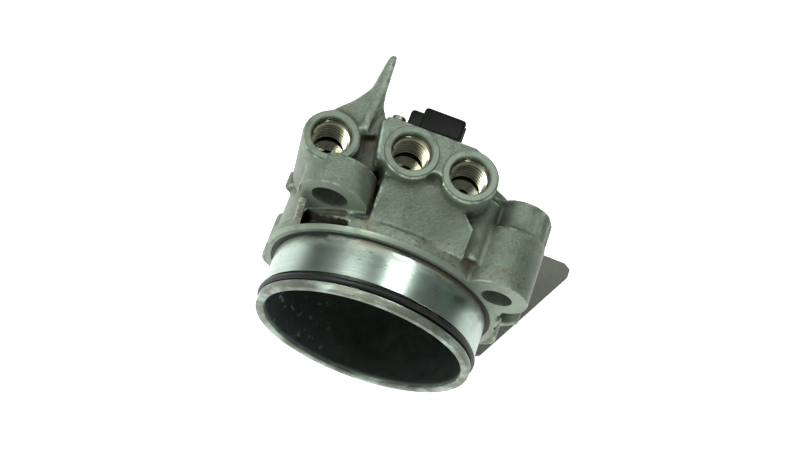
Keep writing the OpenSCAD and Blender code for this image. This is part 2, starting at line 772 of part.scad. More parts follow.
// The fixed axle of the intermediate gear
module intermediate_axle() {
    color("silver") cyl_z(axle_r, floor_z - 1.45, pad_z - 0.2, idler[0], idler[1]);
}

// The steel can of the motor
module motor_can() {
    color("silver") difference() {
        cyl_z(motor_r, can_floor_z, motor_top_z - motor_cap_t, motor[0], motor[1]);
        cyl_z(motor_r - motor_wall, can_floor_z + motor_wall, motor_top_z, motor[0], motor[1]);
        cyl_z(motor_shaft_r + running_gap, can_floor_z - overrun, can_floor_z + 3, motor[0], motor[1]);
    }
}

// The end plate of the motor
module motor_end_plate() {
    color("dimgray") difference() {
        cyl_z(motor_r, motor_top_z - motor_cap_t, motor_top_z, motor[0], motor[1]);
        cyl_z(motor_shaft_r + running_gap, motor_top_z - 3, motor_top_z + overrun, motor[0], motor[1]);
        for (a = [45, 225]) cyl_z(0.8, motor_top_z - 3, motor_top_z + overrun,
                                   motor[0] + 10.2 * cos(a), motor[1] + 10.2 * sin(a));
    }
}

// The ring of field magnets inside the can
module motor_magnets() {
    outer = motor_r - motor_wall;
    color("darkslategray") difference() {
        ring_z(outer, outer - 2, can_floor_z + motor_wall + 1, motor_top_z - motor_cap_t - 1, motor[0], motor[1]);
        translate([motor[0] - 2, motor[1] - 20, can_floor_z]) cube([4, 40, 30]);
    }
}

// The wound core of the motor
module motor_rotor() {
    slots = 5;
    color("peru") difference() {
        cyl_z(rotor_r, can_floor_z + motor_wall + 1, motor_top_z - motor_cap_t - 1, motor[0], motor[1]);
        cyl_z(motor_shaft_r, can_floor_z, motor_top_z, motor[0], motor[1]);
        for (i = [0:slots - 1]) translate([motor[0], motor[1], can_floor_z]) rotate([0, 0, 72 * i])
            translate([rotor_r - 3, -0.8, 0]) cube([6, 1.6, 30]);
    }
}

// The shaft of the motor
module motor_shaft() {
    color("silver") cyl_z(motor_shaft_r, can_floor_z + 0.2, big_top_z, motor[0], motor[1]);
}

// The pinion on the motor shaft
module motor_pinion() {
    color("goldenrod") translate([motor[0], motor[1], 0]) difference() {
        spur(pinion_teeth, pinion_phase, big_z, big_top_z - 0.1);
        cyl_z(motor_shaft_r, big_z - overrun, big_top_z + overrun);
    }
}

// The sensor board under the shaft's magnet
module hall_board() {
    color("darkgreen") difference() {
        box([-9, shaft_y - 7, board_z], [9, board_rear_y, board_z + 1]);
        for (x = [-1, 1]) cyl_z(1.1, board_z - overrun, board_z + 3, x * 6, shaft_y - 3);
    }
}

// The two screws of the sensor board
module board_screws() {
    color("silver") for (x = [-1, 1]) {
        cyl_z(0.88, board_z - 4, board_z + 1.5, x * 6, shaft_y - 3);
        cyl_z(1.7, board_z + 1, board_z + 2, x * 6, shaft_y - 3);
    }
}

// A plug socket open at its far end, standing out along Y
module socket(w, h, y0, y1, x, z) {
    difference() {
        box([x - w / 2, y0, z - h / 2], [x + w / 2, y1, z + h / 2]);
        box([x - w / 2 + socket_wall, y0 + 2, z - h / 2 + socket_wall],
            [x + w / 2 - socket_wall, y1 + overrun, z + h / 2 - socket_wall]);
    }
}

// The connector of the actuator
module case_connector() {
    wall_y = case_front_y + case_len;
    color("black") {
        socket(case_socket_w, case_socket_h, wall_y, wall_y + case_socket_len, case_socket_x, case_socket_z);
        box([case_socket_x - 6.8, wall_y - case_wall - 1, case_socket_z - 2.8],
            [case_socket_x + 6.8, wall_y + 0.5, case_socket_z + 2.8]);
    }
}

// The pins of the actuator's connector
module case_pins() {
    wall_y = case_front_y + case_len;
    color("gold") for (i = [-2.5:1:2.5])
        box([case_socket_x + i * 2.4 - pin_w / 2, wall_y + 2, case_socket_z - pin_w / 2],
            [case_socket_x + i * 2.4 + pin_w / 2, wall_y + 2 + pin_len + 2, case_socket_z + pin_w / 2]);
}

// The pressure sensor behind the ports
module pressure_sensor() {
    x = sensor_axis[0];
    z = sensor_axis[1];
    y = sensor_face_y + 0.05;
    color("black") difference() {
        union() {
            cyl_y(nozzle_r, y - nozzle_len, y + 1, nozzle_x, z);
            box([sensor_screw[0] - 3.2, y, z - 5.5], [x + socket_w / 2 + 0.6, y + sensor_plate_t, z + 1.5]);
            box([x - socket_w / 2 - 4.6, y, z - 4.5], [x - socket_w / 2 + 1, y + sensor_plate_t + 5.5, z + 3.5]);
            socket(socket_w, socket_h, y, y + sensor_plate_t + socket_len, x, z);
        }
        difference() {
            cyl_y(nozzle_r + 1, y - 5.4, y - 3, nozzle_x, z);
            cyl_y(nozzle_r - 0.9, y - 8, y, nozzle_x, z);
        }
        cyl_y(1.1, y - nozzle_len - 1, y - 4, nozzle_x, z);
        cyl_y(m3_r + 0.2, y - 1, y + 20, sensor_screw[0], sensor_screw[1]);
    }
}

// The seal on the sensor's nozzle
module sensor_o_ring() {
    section_r = (0.9 + nozzle_room) / 2;
    color("black") translate([nozzle_x, sensor_face_y - 4.15, sensor_axis[1]]) rotate([-90, 0, 0])
        rotate_extrude() translate([nozzle_r - 0.9 + section_r, 0]) circle(r = section_r - 0.01, $fn = 32);
}

// The pins of the sensor
module sensor_pins() {
    y = sensor_face_y + 0.05 + sensor_plate_t;
    color("gold") for (i = [-1.5:1:1.5])
        box([sensor_axis[0] + i * 3 - pin_w / 2, y, sensor_axis[1] - pin_w / 2],
            [sensor_axis[0] + i * 3 + pin_w / 2, y + pin_len, sensor_axis[1] + pin_w / 2]);
}

// The screw that holds the sensor
module sensor_fixing() {
    y = sensor_face_y + 0.05 + sensor_plate_t;
    color("silver") difference() {
        union() {
            cyl_y(m3_r - 0.03, y - 8, y + 0.5, sensor_screw[0], sensor_screw[1]);
            cyl_y(2.7, y, y + 2, sensor_screw[0], sensor_screw[1]);
        }
        translate([sensor_screw[0], y + 1, sensor_screw[1]]) rotate([-90, 0, 0]) cylinder(r = 1.4, h = 3, $fn = 6);
    }
}

housing();
spigot_o_ring();
root_seal();
rear_seal();
upper_bush();
bearing_outer_ring();
bearing_inner_ring();
bearing_balls();
shaft_seal();
throttle_shaft();
butterfly();
butterfly_screws();
sector_gear();
sector_nut();
position_magnet();
return_spring();
bracket_plate();
case_gasket();
gear_case();
case_screws();
plate_screws();
dowel_pins();
intermediate_gear();
intermediate_axle();
motor_can();
motor_end_plate();
motor_magnets();
motor_rotor();
motor_shaft();
motor_pinion();
hall_board();
board_screws();
case_connector();
case_pins();
pressure_sensor();
sensor_o_ring();
sensor_pins();
sensor_fixing();
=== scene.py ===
"""Looks of an electronic throttle body: a stained aluminium casting with its turned spigot and threaded ports.

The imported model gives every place. The casting is rebuilt here with foundry radii and crisp machined faces,
and the rings, threads, plate and plug sockets get their own pieces. Lengths in the classes are millimetres.
"""

import logging
import math
from dataclasses import dataclass, field
from enum import Enum
from typing import Iterable, Sequence

import bpy
from mathutils import Matrix, Vector


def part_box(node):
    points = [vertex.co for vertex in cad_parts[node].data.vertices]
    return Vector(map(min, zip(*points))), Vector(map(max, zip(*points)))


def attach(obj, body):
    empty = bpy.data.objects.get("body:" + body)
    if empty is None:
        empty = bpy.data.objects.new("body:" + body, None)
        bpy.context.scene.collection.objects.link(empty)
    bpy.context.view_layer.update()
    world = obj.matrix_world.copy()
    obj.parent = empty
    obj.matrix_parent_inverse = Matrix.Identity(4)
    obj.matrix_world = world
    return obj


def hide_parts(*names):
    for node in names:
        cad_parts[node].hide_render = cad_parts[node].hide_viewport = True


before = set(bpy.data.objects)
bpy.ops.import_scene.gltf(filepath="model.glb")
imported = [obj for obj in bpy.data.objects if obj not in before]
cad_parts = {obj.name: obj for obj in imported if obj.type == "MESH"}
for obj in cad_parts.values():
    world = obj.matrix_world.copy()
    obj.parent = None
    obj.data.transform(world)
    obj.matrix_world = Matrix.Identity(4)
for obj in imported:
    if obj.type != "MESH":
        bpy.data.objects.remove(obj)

log = logging.getLogger("throttle_body")
MM = 0.001
Point = tuple[float, float, float]
Colour = tuple[float, float, float]


FINE_STEPS = 192
BARREL_SIDES = 128
DOUBLED_WITHIN = 1e-6
RUST_BROWN: Colour = (0.115, 0.085, 0.035)
FRETTED_BROWN: Colour = (0.125, 0.095, 0.042)
FRETTED_BLACK: Colour = (0.022, 0.022, 0.012)
FRETTED_PALE: Colour = (0.30, 0.34, 0.26)
OLD_OIL: Colour = (0.17, 0.15, 0.075)
LAND_GRIME: Colour = (0.10, 0.105, 0.07)
NICK_BLACK: Colour = (0.035, 0.035, 0.022)


def shaded(colour: Colour, factor: float) -> Colour:
    """A colour made darker or lighter by a factor, with no channel above 1.

    Args:
        colour: The colour.
        factor: What each channel is multiplied by.

    Returns:
        The new colour.
    """
    return tuple(min(1.0, c * factor) for c in colour)


# ---------------------------------------------------------------------------------------------- shading


class Value:
    """A shader value or vector that takes part in ordinary Python arithmetic."""

    def __init__(self, shader: "Shader", socket: bpy.types.NodeSocket) -> None:
        """Wraps one output socket of a shader's node tree."""
        self.shader = shader
        self.socket = socket

    def _math(self, operation: str, first: "Value | float", second: "Value | float") -> "Value":
        """Adds one Math node.

        Args:
            operation: The Math node's operation.
            first: The first operand.
            second: The second operand.

        Returns:
            The node's result.
        """
        return self.shader.value("ShaderNodeMath", {"operation": operation}, {0: first, 1: second})

    def __add__(self, other: "Value | float") -> "Value":
        """Sum."""
        return self._math("ADD", self, other)

    def __radd__(self, other: float) -> "Value":
        """Sum, reflected."""
        return self._math("ADD", other, self)

    def __sub__(self, other: "Value | float") -> "Value":
        """Difference."""
        return self._math("SUBTRACT", self, other)

    def __rsub__(self, other: float) -> "Value":
        """Difference, reflected."""
        return self._math("SUBTRACT", other, self)

    def __mul__(self, other: "Value | float") -> "Value":
        """Product."""
        return self._math("MULTIPLY", self, other)

    def __rmul__(self, other: float) -> "Value":
        """Product, reflected."""
        return self._math("MULTIPLY", other, self)

    def __or__(self, other: "Value | float") -> "Value":
        """The larger of two masks."""
        return self._math("MAXIMUM", self, other)

    def between(self, low: float, high: float) -> "Value":
        """A soft step that is 0 below low and 1 above high.

        Args:
            low: The value where the step starts.
            high: The value where the step ends; it may be the smaller of the two.

        Returns:
            The step, from 0 to 1.
        """
        settings = {"interpolation_type": "SMOOTHSTEP"}
        return self.shader.value("ShaderNodeMapRange", settings, {"Value": self, "From Min": low, "From Max": high})


class Shader:
    """One material under construction."""

    def __init__(self, name: str) -> None:
        """Starts a material that holds a Principled shader and its output."""
        self.material = bpy.data.materials.new(name)
        self.material.use_nodes = True
        self.tree = self.material.node_tree
        self.surface = self.tree.nodes["Principled BSDF"]

    def node(self, kind: str, settings: dict[str, object], inputs: dict[str | int, object]) -> bpy.types.Node:
        """Adds one node.

        Args:
            kind: The node's type.
            settings: Properties that are set before its sockets.
            inputs: A number, colour or Value for each socket, by name or place.

        Returns:
            The node.
        """
        made = self.tree.nodes.new(kind)
        for key, setting in settings.items():
            setattr(made, key, setting)
        for key, given in inputs.items():
            self.feed(made.inputs[key], given)
        return made

    def feed(self, socket: bpy.types.NodeSocket, given: object) -> None:
        """Links a Value to a socket, or sets the socket to a plain number or colour.

        Args:
            socket: The socket to fill.
            given: A Value, a number, or a colour of three numbers.
        """
        if isinstance(given, Value):
            self.tree.links.new(given.socket, socket)
        elif isinstance(given, tuple) and len(given) == 3 and socket.type == "RGBA":
            socket.default_value = (*given, 1.0)
        else:
            socket.default_value = given

    def value(self, kind: str, settings: dict[str, object], inputs: dict[str | int, object],
              output: str | int = 0) -> Value:
        """Adds one node and returns one of its outputs.

        Args:
            kind: The node's type.
            settings: Properties that are set before its sockets.
            inputs: A number, colour or Value for each socket.
            output: The output's name or place.

        Returns:
            The output.
        """
        return Value(self, self.node(kind, settings, inputs).outputs[output])

    def place(self, stretch: Point = (1.0, 1.0, 1.0), centre: Point = (0.0, 0.0, 0.0)) -> Value:
        """Object coordinates in millimetres.

        Args:
            stretch: A factor along each axis; less than 1 draws a pattern out along that axis.
            centre: The point, in millimetres, that becomes the pattern's origin.

        Returns:
            The coordinates.
        """
        here = self.value("ShaderNodeTexCoord", {}, {}, "Object")
        scale = tuple(s / MM for s in stretch)
        shift = tuple(-c * s for c, s in zip(centre, stretch))
        return self.value("ShaderNodeMapping", {}, {"Vector": here, "Scale": scale, "Location": shift})

    def noise(self, size: float, detail: float = 4.0, roughness: float = 0.55, at: Value | None = None,
              seed: float = 0.0, distortion: float = 0.0) -> Value:
        """Cloudy noise around 0.5.

        Args:
            size: The size of its largest blobs in millimetres.
            detail: How many octaves it has.
            roughness: How strong the finer octaves are.
            at: The coordinates, or None for plain ones.
            seed: A shift that makes it differ from other noise of the same size.
            distortion: How much the blobs are swirled.

        Returns:
            The noise.
        """
        at = at or self.place()
        inputs = {"Vector": at, "W": seed, "Scale": 1.0 / size, "Detail": detail, "Roughness": roughness,
                  "Distortion": distortion}
        return self.value("ShaderNodeTexNoise", {"noise_dimensions": "4D"}, inputs, "Fac")

    def cells(self, size: float, at: Value | None = None) -> Value:
        """Distance to the nearest of scattered points, in units of their spacing.

        Args:
            size: The spacing of the points in millimetres.
            at: The coordinates, or None for plain ones.

        Returns:
            The distance.
        """
        return self.value("ShaderNodeTexVoronoi", {"feature": "F1"}, {"Vector": at or self.place(),
                                                                       "Scale": 1.0 / size}, "Distance")

    def mix(self, share: Value | float, low: "Value | Colour", high: "Value | Colour") -> Value:
        """Blends two colours.

        Args:
            share: How much of the second colour shows.
            low: The colour at 0.
            high: The colour at 1.

        Returns:
            The blended colour.
        """
        settings = {"data_type": "RGBA"}
        return self.value("ShaderNodeMix", settings, {0: share, 6: low, 7: high}, 2)

    def hollow(self, reach: float) -> Value:
        """How enclosed a point is: 0 on open ground, 1 deep in a corner within that many millimetres."""
        open_sky = self.value("ShaderNodeAmbientOcclusion", {"samples": 6}, {"Distance": reach * MM}, "AO")
        return 1.0 - open_sky

    def edge(self) -> Value:
        """How sharply the surface turns outwards: about 0.5 on flat ground and more on an edge."""
        return self.value("ShaderNodeNewGeometry", {}, {}, "Pointiness")

    def axis(self, name: str, at: Value | None = None) -> Value:
        """One coordinate in millimetres."""
        return self.value("ShaderNodeSeparateXYZ", {}, {0: at or self.place()}, name)

    def relief(self, height: Value, depth: float, under: Value | None = None) -> Value:
        """A bumped normal.

        Args:
            height: The height, from 0 to 1.
            depth: The depth in millimetres that a height of 1 stands for.
            under: A normal that is bumped already.

        Returns:
            The normal.
        """
        inputs = {"Height": height, "Distance": depth * MM, "Strength": 1.0}
        if under is not None:
            inputs["Normal"] = under
        return self.value("ShaderNodeBump", {}, inputs)

    def dress(self, **inputs: object) -> bpy.types.Material:
        """Feeds the Principled shader, whose sockets are named with underscores, and returns the material.

        Args:
            **inputs: What goes into each of the Principled shader's sockets.

        Returns:
            The finished material.
        """
        for key, given in inputs.items():
            self.feed(self.surface.inputs[key.replace("_", " ")], given)
        return self.material


class Finish:
    """A surface finish that makes its material once."""

    made: dict["Finish", bpy.types.Material] = {}

    def build(self) -> bpy.types.Material:
        """Makes the material."""
        raise NotImplementedError

    def material(self) -> bpy.types.Material:
        """The finish's material, made on the first call.

        Returns:
            The material.
        """
        if self not in Finish.made:
            Finish.made[self] = self.build()
        return Finish.made[self]


@dataclass(frozen=True)
class CastSkin(Finish):
    """The sand-like skin of a casting, with old oil, road grime and painted shade in its corners, and edges lightened
    as wear and painted highlight.
    """

    name: str
    tone: Colour
    pale: Colour
    dirt_and_shade_tint: Colour
    metal: float = 0.45
    dirt_and_shade_share: float = 1.0
    edge_wear_and_highlight: float = 0.75
    rust_band: tuple[float, float] = (0.0, 0.0)

    def build(self) -> bpy.types.Material:
        """Makes the cast skin.

        Returns:
            The material.
        """
        s = Shader(self.name)
        broad = s.noise(16.0, 5.0, 0.6, seed=1.0)
        blotch = s.noise(5.0, 5.0, 0.65, seed=4.0, distortion=0.6)
        grain = s.noise(0.55, 3.0, 0.6, seed=2.0)
        hollow = s.hollow(6.0)
        # Edges are lightened: wear, and a painted highlight along them.
        worn_and_lit_edge = s.edge().between(0.506, 0.545) * s.noise(3.0, 3.0, 0.6, seed=8.0).between(0.38, 0.56)
        colour = s.mix(broad.between(0.35, 0.68), self.tone, self.pale)
        shade = shaded(self.tone, 0.62)
        colour = s.mix(blotch.between(0.50, 0.68) * 0.55, colour, shade)
        colour = s.mix(grain.between(0.54, 0.72) * 0.55, colour, shaded(self.tone, 0.4))
        colour = s.mix(grain.between(0.42, 0.30) * 0.35, colour, shaded(self.pale, 1.6))
        # Painted shade: ambient occlusion darkens the corners towards the near-black tint, as dirt and as the shade
        # that falls there.
        dirt_and_shade_mask = (hollow.between(0.05, 0.42) * (0.45 + blotch)).between(0.10, 0.7) * self.dirt_and_shade_share
        colour = s.mix(dirt_and_shade_mask * 0.85, colour, self.dirt_and_shade_tint)
        rust = (s.noise(7.0, 4.0, 0.6, seed=9.0).between(0.52, 0.64) * hollow.between(0.03, 0.25)) * 0.75
        colour = s.mix(rust * self.dirt_and_shade_share, colour, RUST_BROWN)
        # Painted highlight and wear on the edges.
        colour = s.mix(worn_and_lit_edge * self.edge_wear_and_highlight, colour, shaded(self.pale, 2.3))
        if self.rust_band[1] > self.rust_band[0]:
            colour = self.fretted(s, colour)
        rough = 0.42 + broad * 0.14 + dirt_and_shade_mask * 0.22 - worn_and_lit_edge * 0.12
        normal = s.relief(s.noise(0.9, 4.0, 0.7, seed=3.0), 0.34)
        normal = s.relief(s.noise(6.0, 3.0, 0.5, seed=7.0), 0.35, normal)
        return s.dress(Base_Color=colour, Roughness=rough, Metallic=self.metal * (1.0 - dirt_and_shade_mask), Normal=normal)

    def fretted(self, s: Shader, colour: Value) -> Value:
        """Adds the brown, black and pale bloom of corrosion on top of the flange.

        Args:
            s: The material under construction.
            colour: The skin's colour so far.

        Returns:
            The colour with the bloom in it.
        """
        along, low, high = s.axis("Y"), *self.rust_band
        band = along.between(low - 0.5, low + 0.4) * along.between(high + 0.8, high - 0.4)
        band = band * s.axis("Z").between(12.0, 30.0)
        bloom = s.noise(2.4, 5.0, 0.72, seed=10.0)
        share = 0.8
        layers = ((0.50, 0.62, FRETTED_BROWN), (0.44, 0.34, FRETTED_BLACK), (0.66, 0.72, FRETTED_PALE))
        for start, end, tint in layers:
            colour = s.mix(band * bloom.between(start, end) * share, colour, tint)
        return colour


class Lay(Enum):
    """The direction of the marks that a tool leaves."""

    ROUND_Y = (0.02, 1.0, 0.02)
    ROUND_Z = (0.02, 0.02, 1.0)
    FLAT = (1.0, 1.0, 1.0)
    RISING = (1.0, 1.0, 0.03)


@dataclass(frozen=True)
class MachinedMetal(Finish):
    """A turned, milled, ground or rolled metal with tool marks and light stains, and corners darkened as stain and
    painted shade.
    """

    name: str
    tone: Colour
    rough: float = 0.28
    lay: Lay = Lay.ROUND_Y
    stain_and_shade: Colour = (0.16, 0.15, 0.09)
    stain_and_shade_share: float = 0.5
    marks: float = 0.02
    metal: float = 1.0

    def build(self) -> bpy.types.Material:
        """Makes the machined metal.

        Returns:
            The material.
        """
        s = Shader(self.name)
        lines = s.noise(0.35, 2.0, 0.6, s.place(self.lay.value), seed=5.0)
        wide = s.noise(1.6, 2.0, 0.5, s.place(self.lay.value), seed=6.0)
        cloud = s.noise(11.0, 5.0, 0.6, seed=11.0, distortion=0.4)
        specks = s.cells(1.6).between(0.20, 0.08) * s.noise(9.0, 3.0, 0.6, seed=13.0).between(0.52, 0.66)
        hollow = s.hollow(2.0)
        dull = cloud.between(0.48, 0.72) * self.stain_and_shade_share
        colour = s.mix(wide.between(0.3, 0.7) * 0.22, self.tone, shaded(self.tone, 0.72))
        colour = s.mix(dull * 0.55, colour, self.stain_and_shade)
        colour = s.mix(specks * self.stain_and_shade_share, colour, shaded(self.stain_and_shade, 0.35))
        mottle = s.noise(1.4, 4.0, 0.7, seed=15.0).between(0.55, 0.70) * self.stain_and_shade_share
        colour = s.mix(mottle * 0.5, colour, shaded(self.tone, 0.6))
        # Painted shade: corners within 2 mm darken towards the stain colour, as stain and as the shade that falls
        # there.
        colour = s.mix(hollow.between(0.35, 0.9) * self.stain_and_shade_share, colour, self.stain_and_shade)
        rough = self.rough + wide * 0.10 + dull * 0.25 + specks * 0.3
        normal = s.relief(lines, self.marks)
        return s.dress(Base_Color=colour, Roughness=rough, Metallic=self.metal * (1.0 - dull * 0.35), Normal=normal)


@dataclass(frozen=True)
class TurnedSpigot(MachinedMetal):
    """The spigot's turned outside: bright, with old oil at its root and a dull front land."""

    land: float = 3.4
    root: float = 17.0

    def build(self) -> bpy.types.Material:
        """Makes the spigot's finish.

        Returns:
            The material.
        """
        s = Shader(self.name)
        along = s.axis("Y")
        lines = s.noise(0.35, 2.0, 0.6, s.place(self.lay.value), seed=5.0)
        wide = s.noise(1.6, 2.0, 0.5, s.place(self.lay.value), seed=6.0)
        cloud = s.noise(13.0, 5.0, 0.6, seed=11.0, distortion=0.4)
        film = s.noise(5.0, 4.0, 0.6, s.place((0.5, 1.6, 0.5)), seed=12.0)
        oil = along.between(self.root, 22.5) * film.between(0.40, 0.62)
        land = along.between(self.land, self.land - 0.6)
        specks = s.noise(1.1, 3.0, 0.7, seed=14.0).between(0.64, 0.70) * (along.between(12.0, 22.0) | land)
        nicks = s.cells(2.6).between(0.16, 0.06) * cloud.between(0.50, 0.60)
        colour = s.mix(wide.between(0.3, 0.7) * 0.25, self.tone, shaded(self.tone, 0.70))
        colour = s.mix(cloud.between(0.46, 0.70) * 0.35, colour, self.stain_and_shade)
        colour = s.mix(oil * 0.75, colour, OLD_OIL)
        colour = s.mix(land * film.between(0.36, 0.58) * 0.8, colour, LAND_GRIME)
        colour = s.mix((specks | nicks) * 0.8, colour, NICK_BLACK)
        rough = self.rough + wide * 0.08 + oil * 0.28 + land * film * 0.4 + specks * 0.3
        metallic = self.metal * (1.0 - (oil | land * film) * 0.5)
        return s.dress(Base_Color=colour, Roughness=rough, Metallic=metallic, Normal=s.relief(lines, self.marks))


@dataclass(frozen=True)
class SootAndShadeBore(Finish):
    """The machined air bore under a film of oil and soot, with pale dried spots; its near-black tone is soot and
    painted shade deep in the bore.
    """

    name: str = "soot_and_shade_bore"

    def build(self) -> bpy.types.Material:
        """Makes the sooty bore.

        Returns:
            The material.
        """
        s = Shader(self.name)
        cloud = s.noise(14.0, 5.0, 0.65, seed=21.0, distortion=0.8)
        streak = s.noise(3.0, 4.0, 0.6, s.place((0.5, 0.12, 0.5)), seed=22.0)
        depth = s.axis("Y")
        clean = depth.between(3.2, 0.2)
        left = s.axis("X").between(2.0, -34.0)
        spots = s.noise(2.6, 4.0, 0.75, seed=23.0).between(0.58, 0.66) * left * cloud.between(0.40, 0.54)
        # Near-black base: soot, and the painted shade deep inside the bore.
        colour = s.mix(cloud.between(0.35, 0.7), (0.010, 0.016, 0.012), (0.030, 0.048, 0.040))
        colour = s.mix(streak.between(0.55, 0.8) * 0.5, colour, (0.05, 0.068, 0.055))
        colour = s.mix(left * 0.5, colour, (0.034, 0.058, 0.050))
        colour = s.mix(spots * 0.8, colour, (0.34, 0.38, 0.36))
        colour = s.mix(clean, colour, (0.36, 0.44, 0.38))
        rough = 0.38 + cloud * 0.2 + spots * 0.2
        normal = s.relief(s.noise(1.3, 4.0, 0.7, seed=24.0), 0.08)
        return s.dress(Base_Color=colour, Roughness=rough, Metallic=clean * 0.7 + 0.25, Normal=normal)


@dataclass(frozen=True)
class Rubber(Finish):
    """Black rubber or gasket fibre with dust on it."""

    name: str
    tone: Colour = (0.008, 0.010, 0.008)
    rough: float = 0.45

    def build(self) -> bpy.types.Material:
        """Makes the rubber.

        Returns:
            The material.
        """
        s = Shader(self.name)
        dust = s.noise(3.5, 4.0, 0.7, seed=31.0).between(0.55, 0.75)
        colour = s.mix(dust * 0.5, self.tone, (0.07, 0.08, 0.065))
        normal = s.relief(s.noise(0.5, 3.0, 0.6, seed=32.0), 0.03)
        return s.dress(Base_Color=colour, Roughness=self.rough + dust * 0.3, Normal=normal, Specular_IOR_Level=0.3)


@dataclass(frozen=True)
class Moulded(Finish):
    """Moulded plastic with a fine spark-eroded grain, dusty in its corners, with edges lightened as wear and painted
    highlight.
    """

    name: str
    tone: Colour
    dust: Colour
    rough: float = 0.38
    dusty: float = 0.5
    gloss: float = 0.5

    def build(self) -> bpy.types.Material:
        """Makes the moulded plastic.

        Returns:
            The material.
        """
        s = Shader(self.name)
        hollow = s.hollow(3.0).between(0.25, 0.85)
        film = s.noise(6.0, 4.0, 0.65, seed=41.0).between(0.5, 0.75)
        # Edges are lightened: wear, and a painted highlight along them.
        worn_and_lit_edge = s.edge().between(0.53, 0.62)
        colour = s.mix((hollow * 0.6 + film * 0.4) * self.dusty, self.tone, self.dust)
        colour = s.mix(worn_and_lit_edge * 0.4, colour, tuple(min(1.0, c * 2.5 + 0.01) for c in self.tone))
        normal = s.relief(s.noise(0.28, 2.0, 0.5, seed=42.0), 0.018)
        return s.dress(Base_Color=colour, Roughness=self.rough + film * 0.22, Normal=normal,
                       Specular_IOR_Level=self.gloss)


@dataclass(frozen=True)
class BrownedSheet(Finish):
    """Bare sheet steel, browned by heat and light rust."""

    name: str = "bracket_steel"

    def build(self) -> bpy.types.Material:
        """Makes the browned sheet.

        Returns:
            The material.
        """
        s = Shader(self.name)
        cloud = s.noise(13.0, 5.0, 0.65, seed=51.0, distortion=0.7)
        fine = s.noise(1.8, 5.0, 0.7, seed=52.0)
        rust = cloud.between(0.56, 0.68) * fine.between(0.42, 0.6)
        colour = s.mix(cloud.between(0.3, 0.7), (0.040, 0.050, 0.032), (0.085, 0.084, 0.052))
        colour = s.mix(rust * 0.6, colour, (0.085, 0.052, 0.024))
        colour = s.mix(fine.between(0.62, 0.74) * 0.4, colour, (0.16, 0.17, 0.14))
        colour = s.mix(s.edge().between(0.54, 0.64) * 0.5, colour, (0.26, 0.28, 0.24))
        normal = s.relief(fine, 0.06)
        return s.dress(Base_Color=colour, Roughness=0.45 + fine * 0.25 + rust * 0.15, Metallic=0.3 - rust * 0.25,
                       Normal=normal)


@dataclass(frozen=True)
class WoundCore(Finish):
    """Lacquered copper windings, seen as fine turns along the motor."""

    name: str = "wound_copper"

    def build(self) -> bpy.types.Material:
        """Makes the windings.

        Returns:
            The material.
        """
        s = Shader(self.name)
        turns = s.value("ShaderNodeTexWave", {"bands_direction": "Z"}, {"Vector": s.place(), "Scale": 0.45,
                                                                       "Distortion": 0.6, "Detail": 2.0}, "Fac")
        colour = s.mix(turns, (0.22, 0.08, 0.03), (0.62, 0.27, 0.11))
        return s.dress(Base_Color=colour, Roughness=0.3 + turns * 0.1, Metallic=0.9, Normal=s.relief(turns, 0.12))


@dataclass(frozen=True)
class PaleFloor(Finish):
    """The plain pale studio floor."""

    name: str = "pale_floor"

    def build(self) -> bpy.types.Material:
        """Makes the floor.

        Returns:
            The material.
        """
        s = Shader(self.name)
        tint = s.mix(s.noise(300.0, 2.0), (0.95, 0.95, 0.95), (0.97, 0.97, 0.97))
        return s.dress(Base_Color=tint, Roughness=0.9, Emission_Color=tint, Emission_Strength=0.86)


CAST = CastSkin("cast_aluminium", (0.120, 0.155, 0.112), (0.190, 0.240, 0.180), (0.020, 0.021, 0.011),
                rust_band=(25.0, 30.0))
CASE_CAST = CastSkin("die_cast_grey", (0.15, 0.17, 0.15), (0.20, 0.22, 0.20), (0.03, 0.03, 0.024), 0.5, 0.6, 0.0)
MILLED = MachinedMetal("milled_face", (0.24, 0.30, 0.23), 0.42, Lay.FLAT, (0.09, 0.10, 0.065), 0.6, 0.03, 0.6)
SPIGOT = TurnedSpigot("turned_spigot", (0.36, 0.45, 0.39), 0.24, Lay.ROUND_Y, (0.12, 0.13, 0.08), marks=0.016)
PORT = MachinedMetal("machined_port", (0.40, 0.42, 0.29), 0.24, Lay.FLAT, (0.13, 0.11, 0.04), 0.9, 0.02, 0.95)
# Near black: painted shade in the ports' undercut and between the thread's turns.
THREAD_ROOT = MachinedMetal("thread_root", (0.022, 0.021, 0.011), 0.55, Lay.ROUND_Z, (0.015, 0.014, 0.006), 0.8,
                            0.02, 0.3)
RING = MachinedMetal("spot_faced_ring", (0.17, 0.215, 0.165), 0.42, Lay.FLAT, (0.055, 0.060, 0.036), 0.9, 0.05, 0.5)
BORE = SootAndShadeBore()
NITRILE = Rubber("nitrile")
FIBRE = Rubber("sealing_fibre", (0.03, 0.032, 0.028), 0.6)
BLACK_NYLON = Moulded("connector_black", (0.005, 0.006, 0.005), (0.030, 0.033, 0.024), 0.48, 0.4, 0.12)
GEAR_NYLON = Moulded("gear_nylon", (0.66, 0.60, 0.46), (0.30, 0.24, 0.12), 0.36)
BOARD = Moulded("board_green", (0.02, 0.13, 0.05), (0.10, 0.12, 0.07), 0.3, 0.3)
FERRITE = Moulded("ferrite", (0.045, 0.045, 0.05), (0.10, 0.10, 0.09), 0.5, 0.3)
SHAFT_STEEL = MachinedMetal("shaft_steel", (0.52, 0.53, 0.51), 0.24, Lay.ROUND_Z)
BEARING_STEEL = MachinedMetal("bearing_steel", (0.62, 0.62, 0.60), 0.16, Lay.ROUND_Z, stain_and_shade_share=0.2)
PLATED = MachinedMetal("plated_steel", (0.30, 0.30, 0.26), 0.36, Lay.FLAT, (0.12, 0.09, 0.05), 0.6)
MOTOR_STEEL = MachinedMetal("motor_steel", (0.56, 0.57, 0.55), 0.3, Lay.RISING, stain_and_shade_share=0.3)
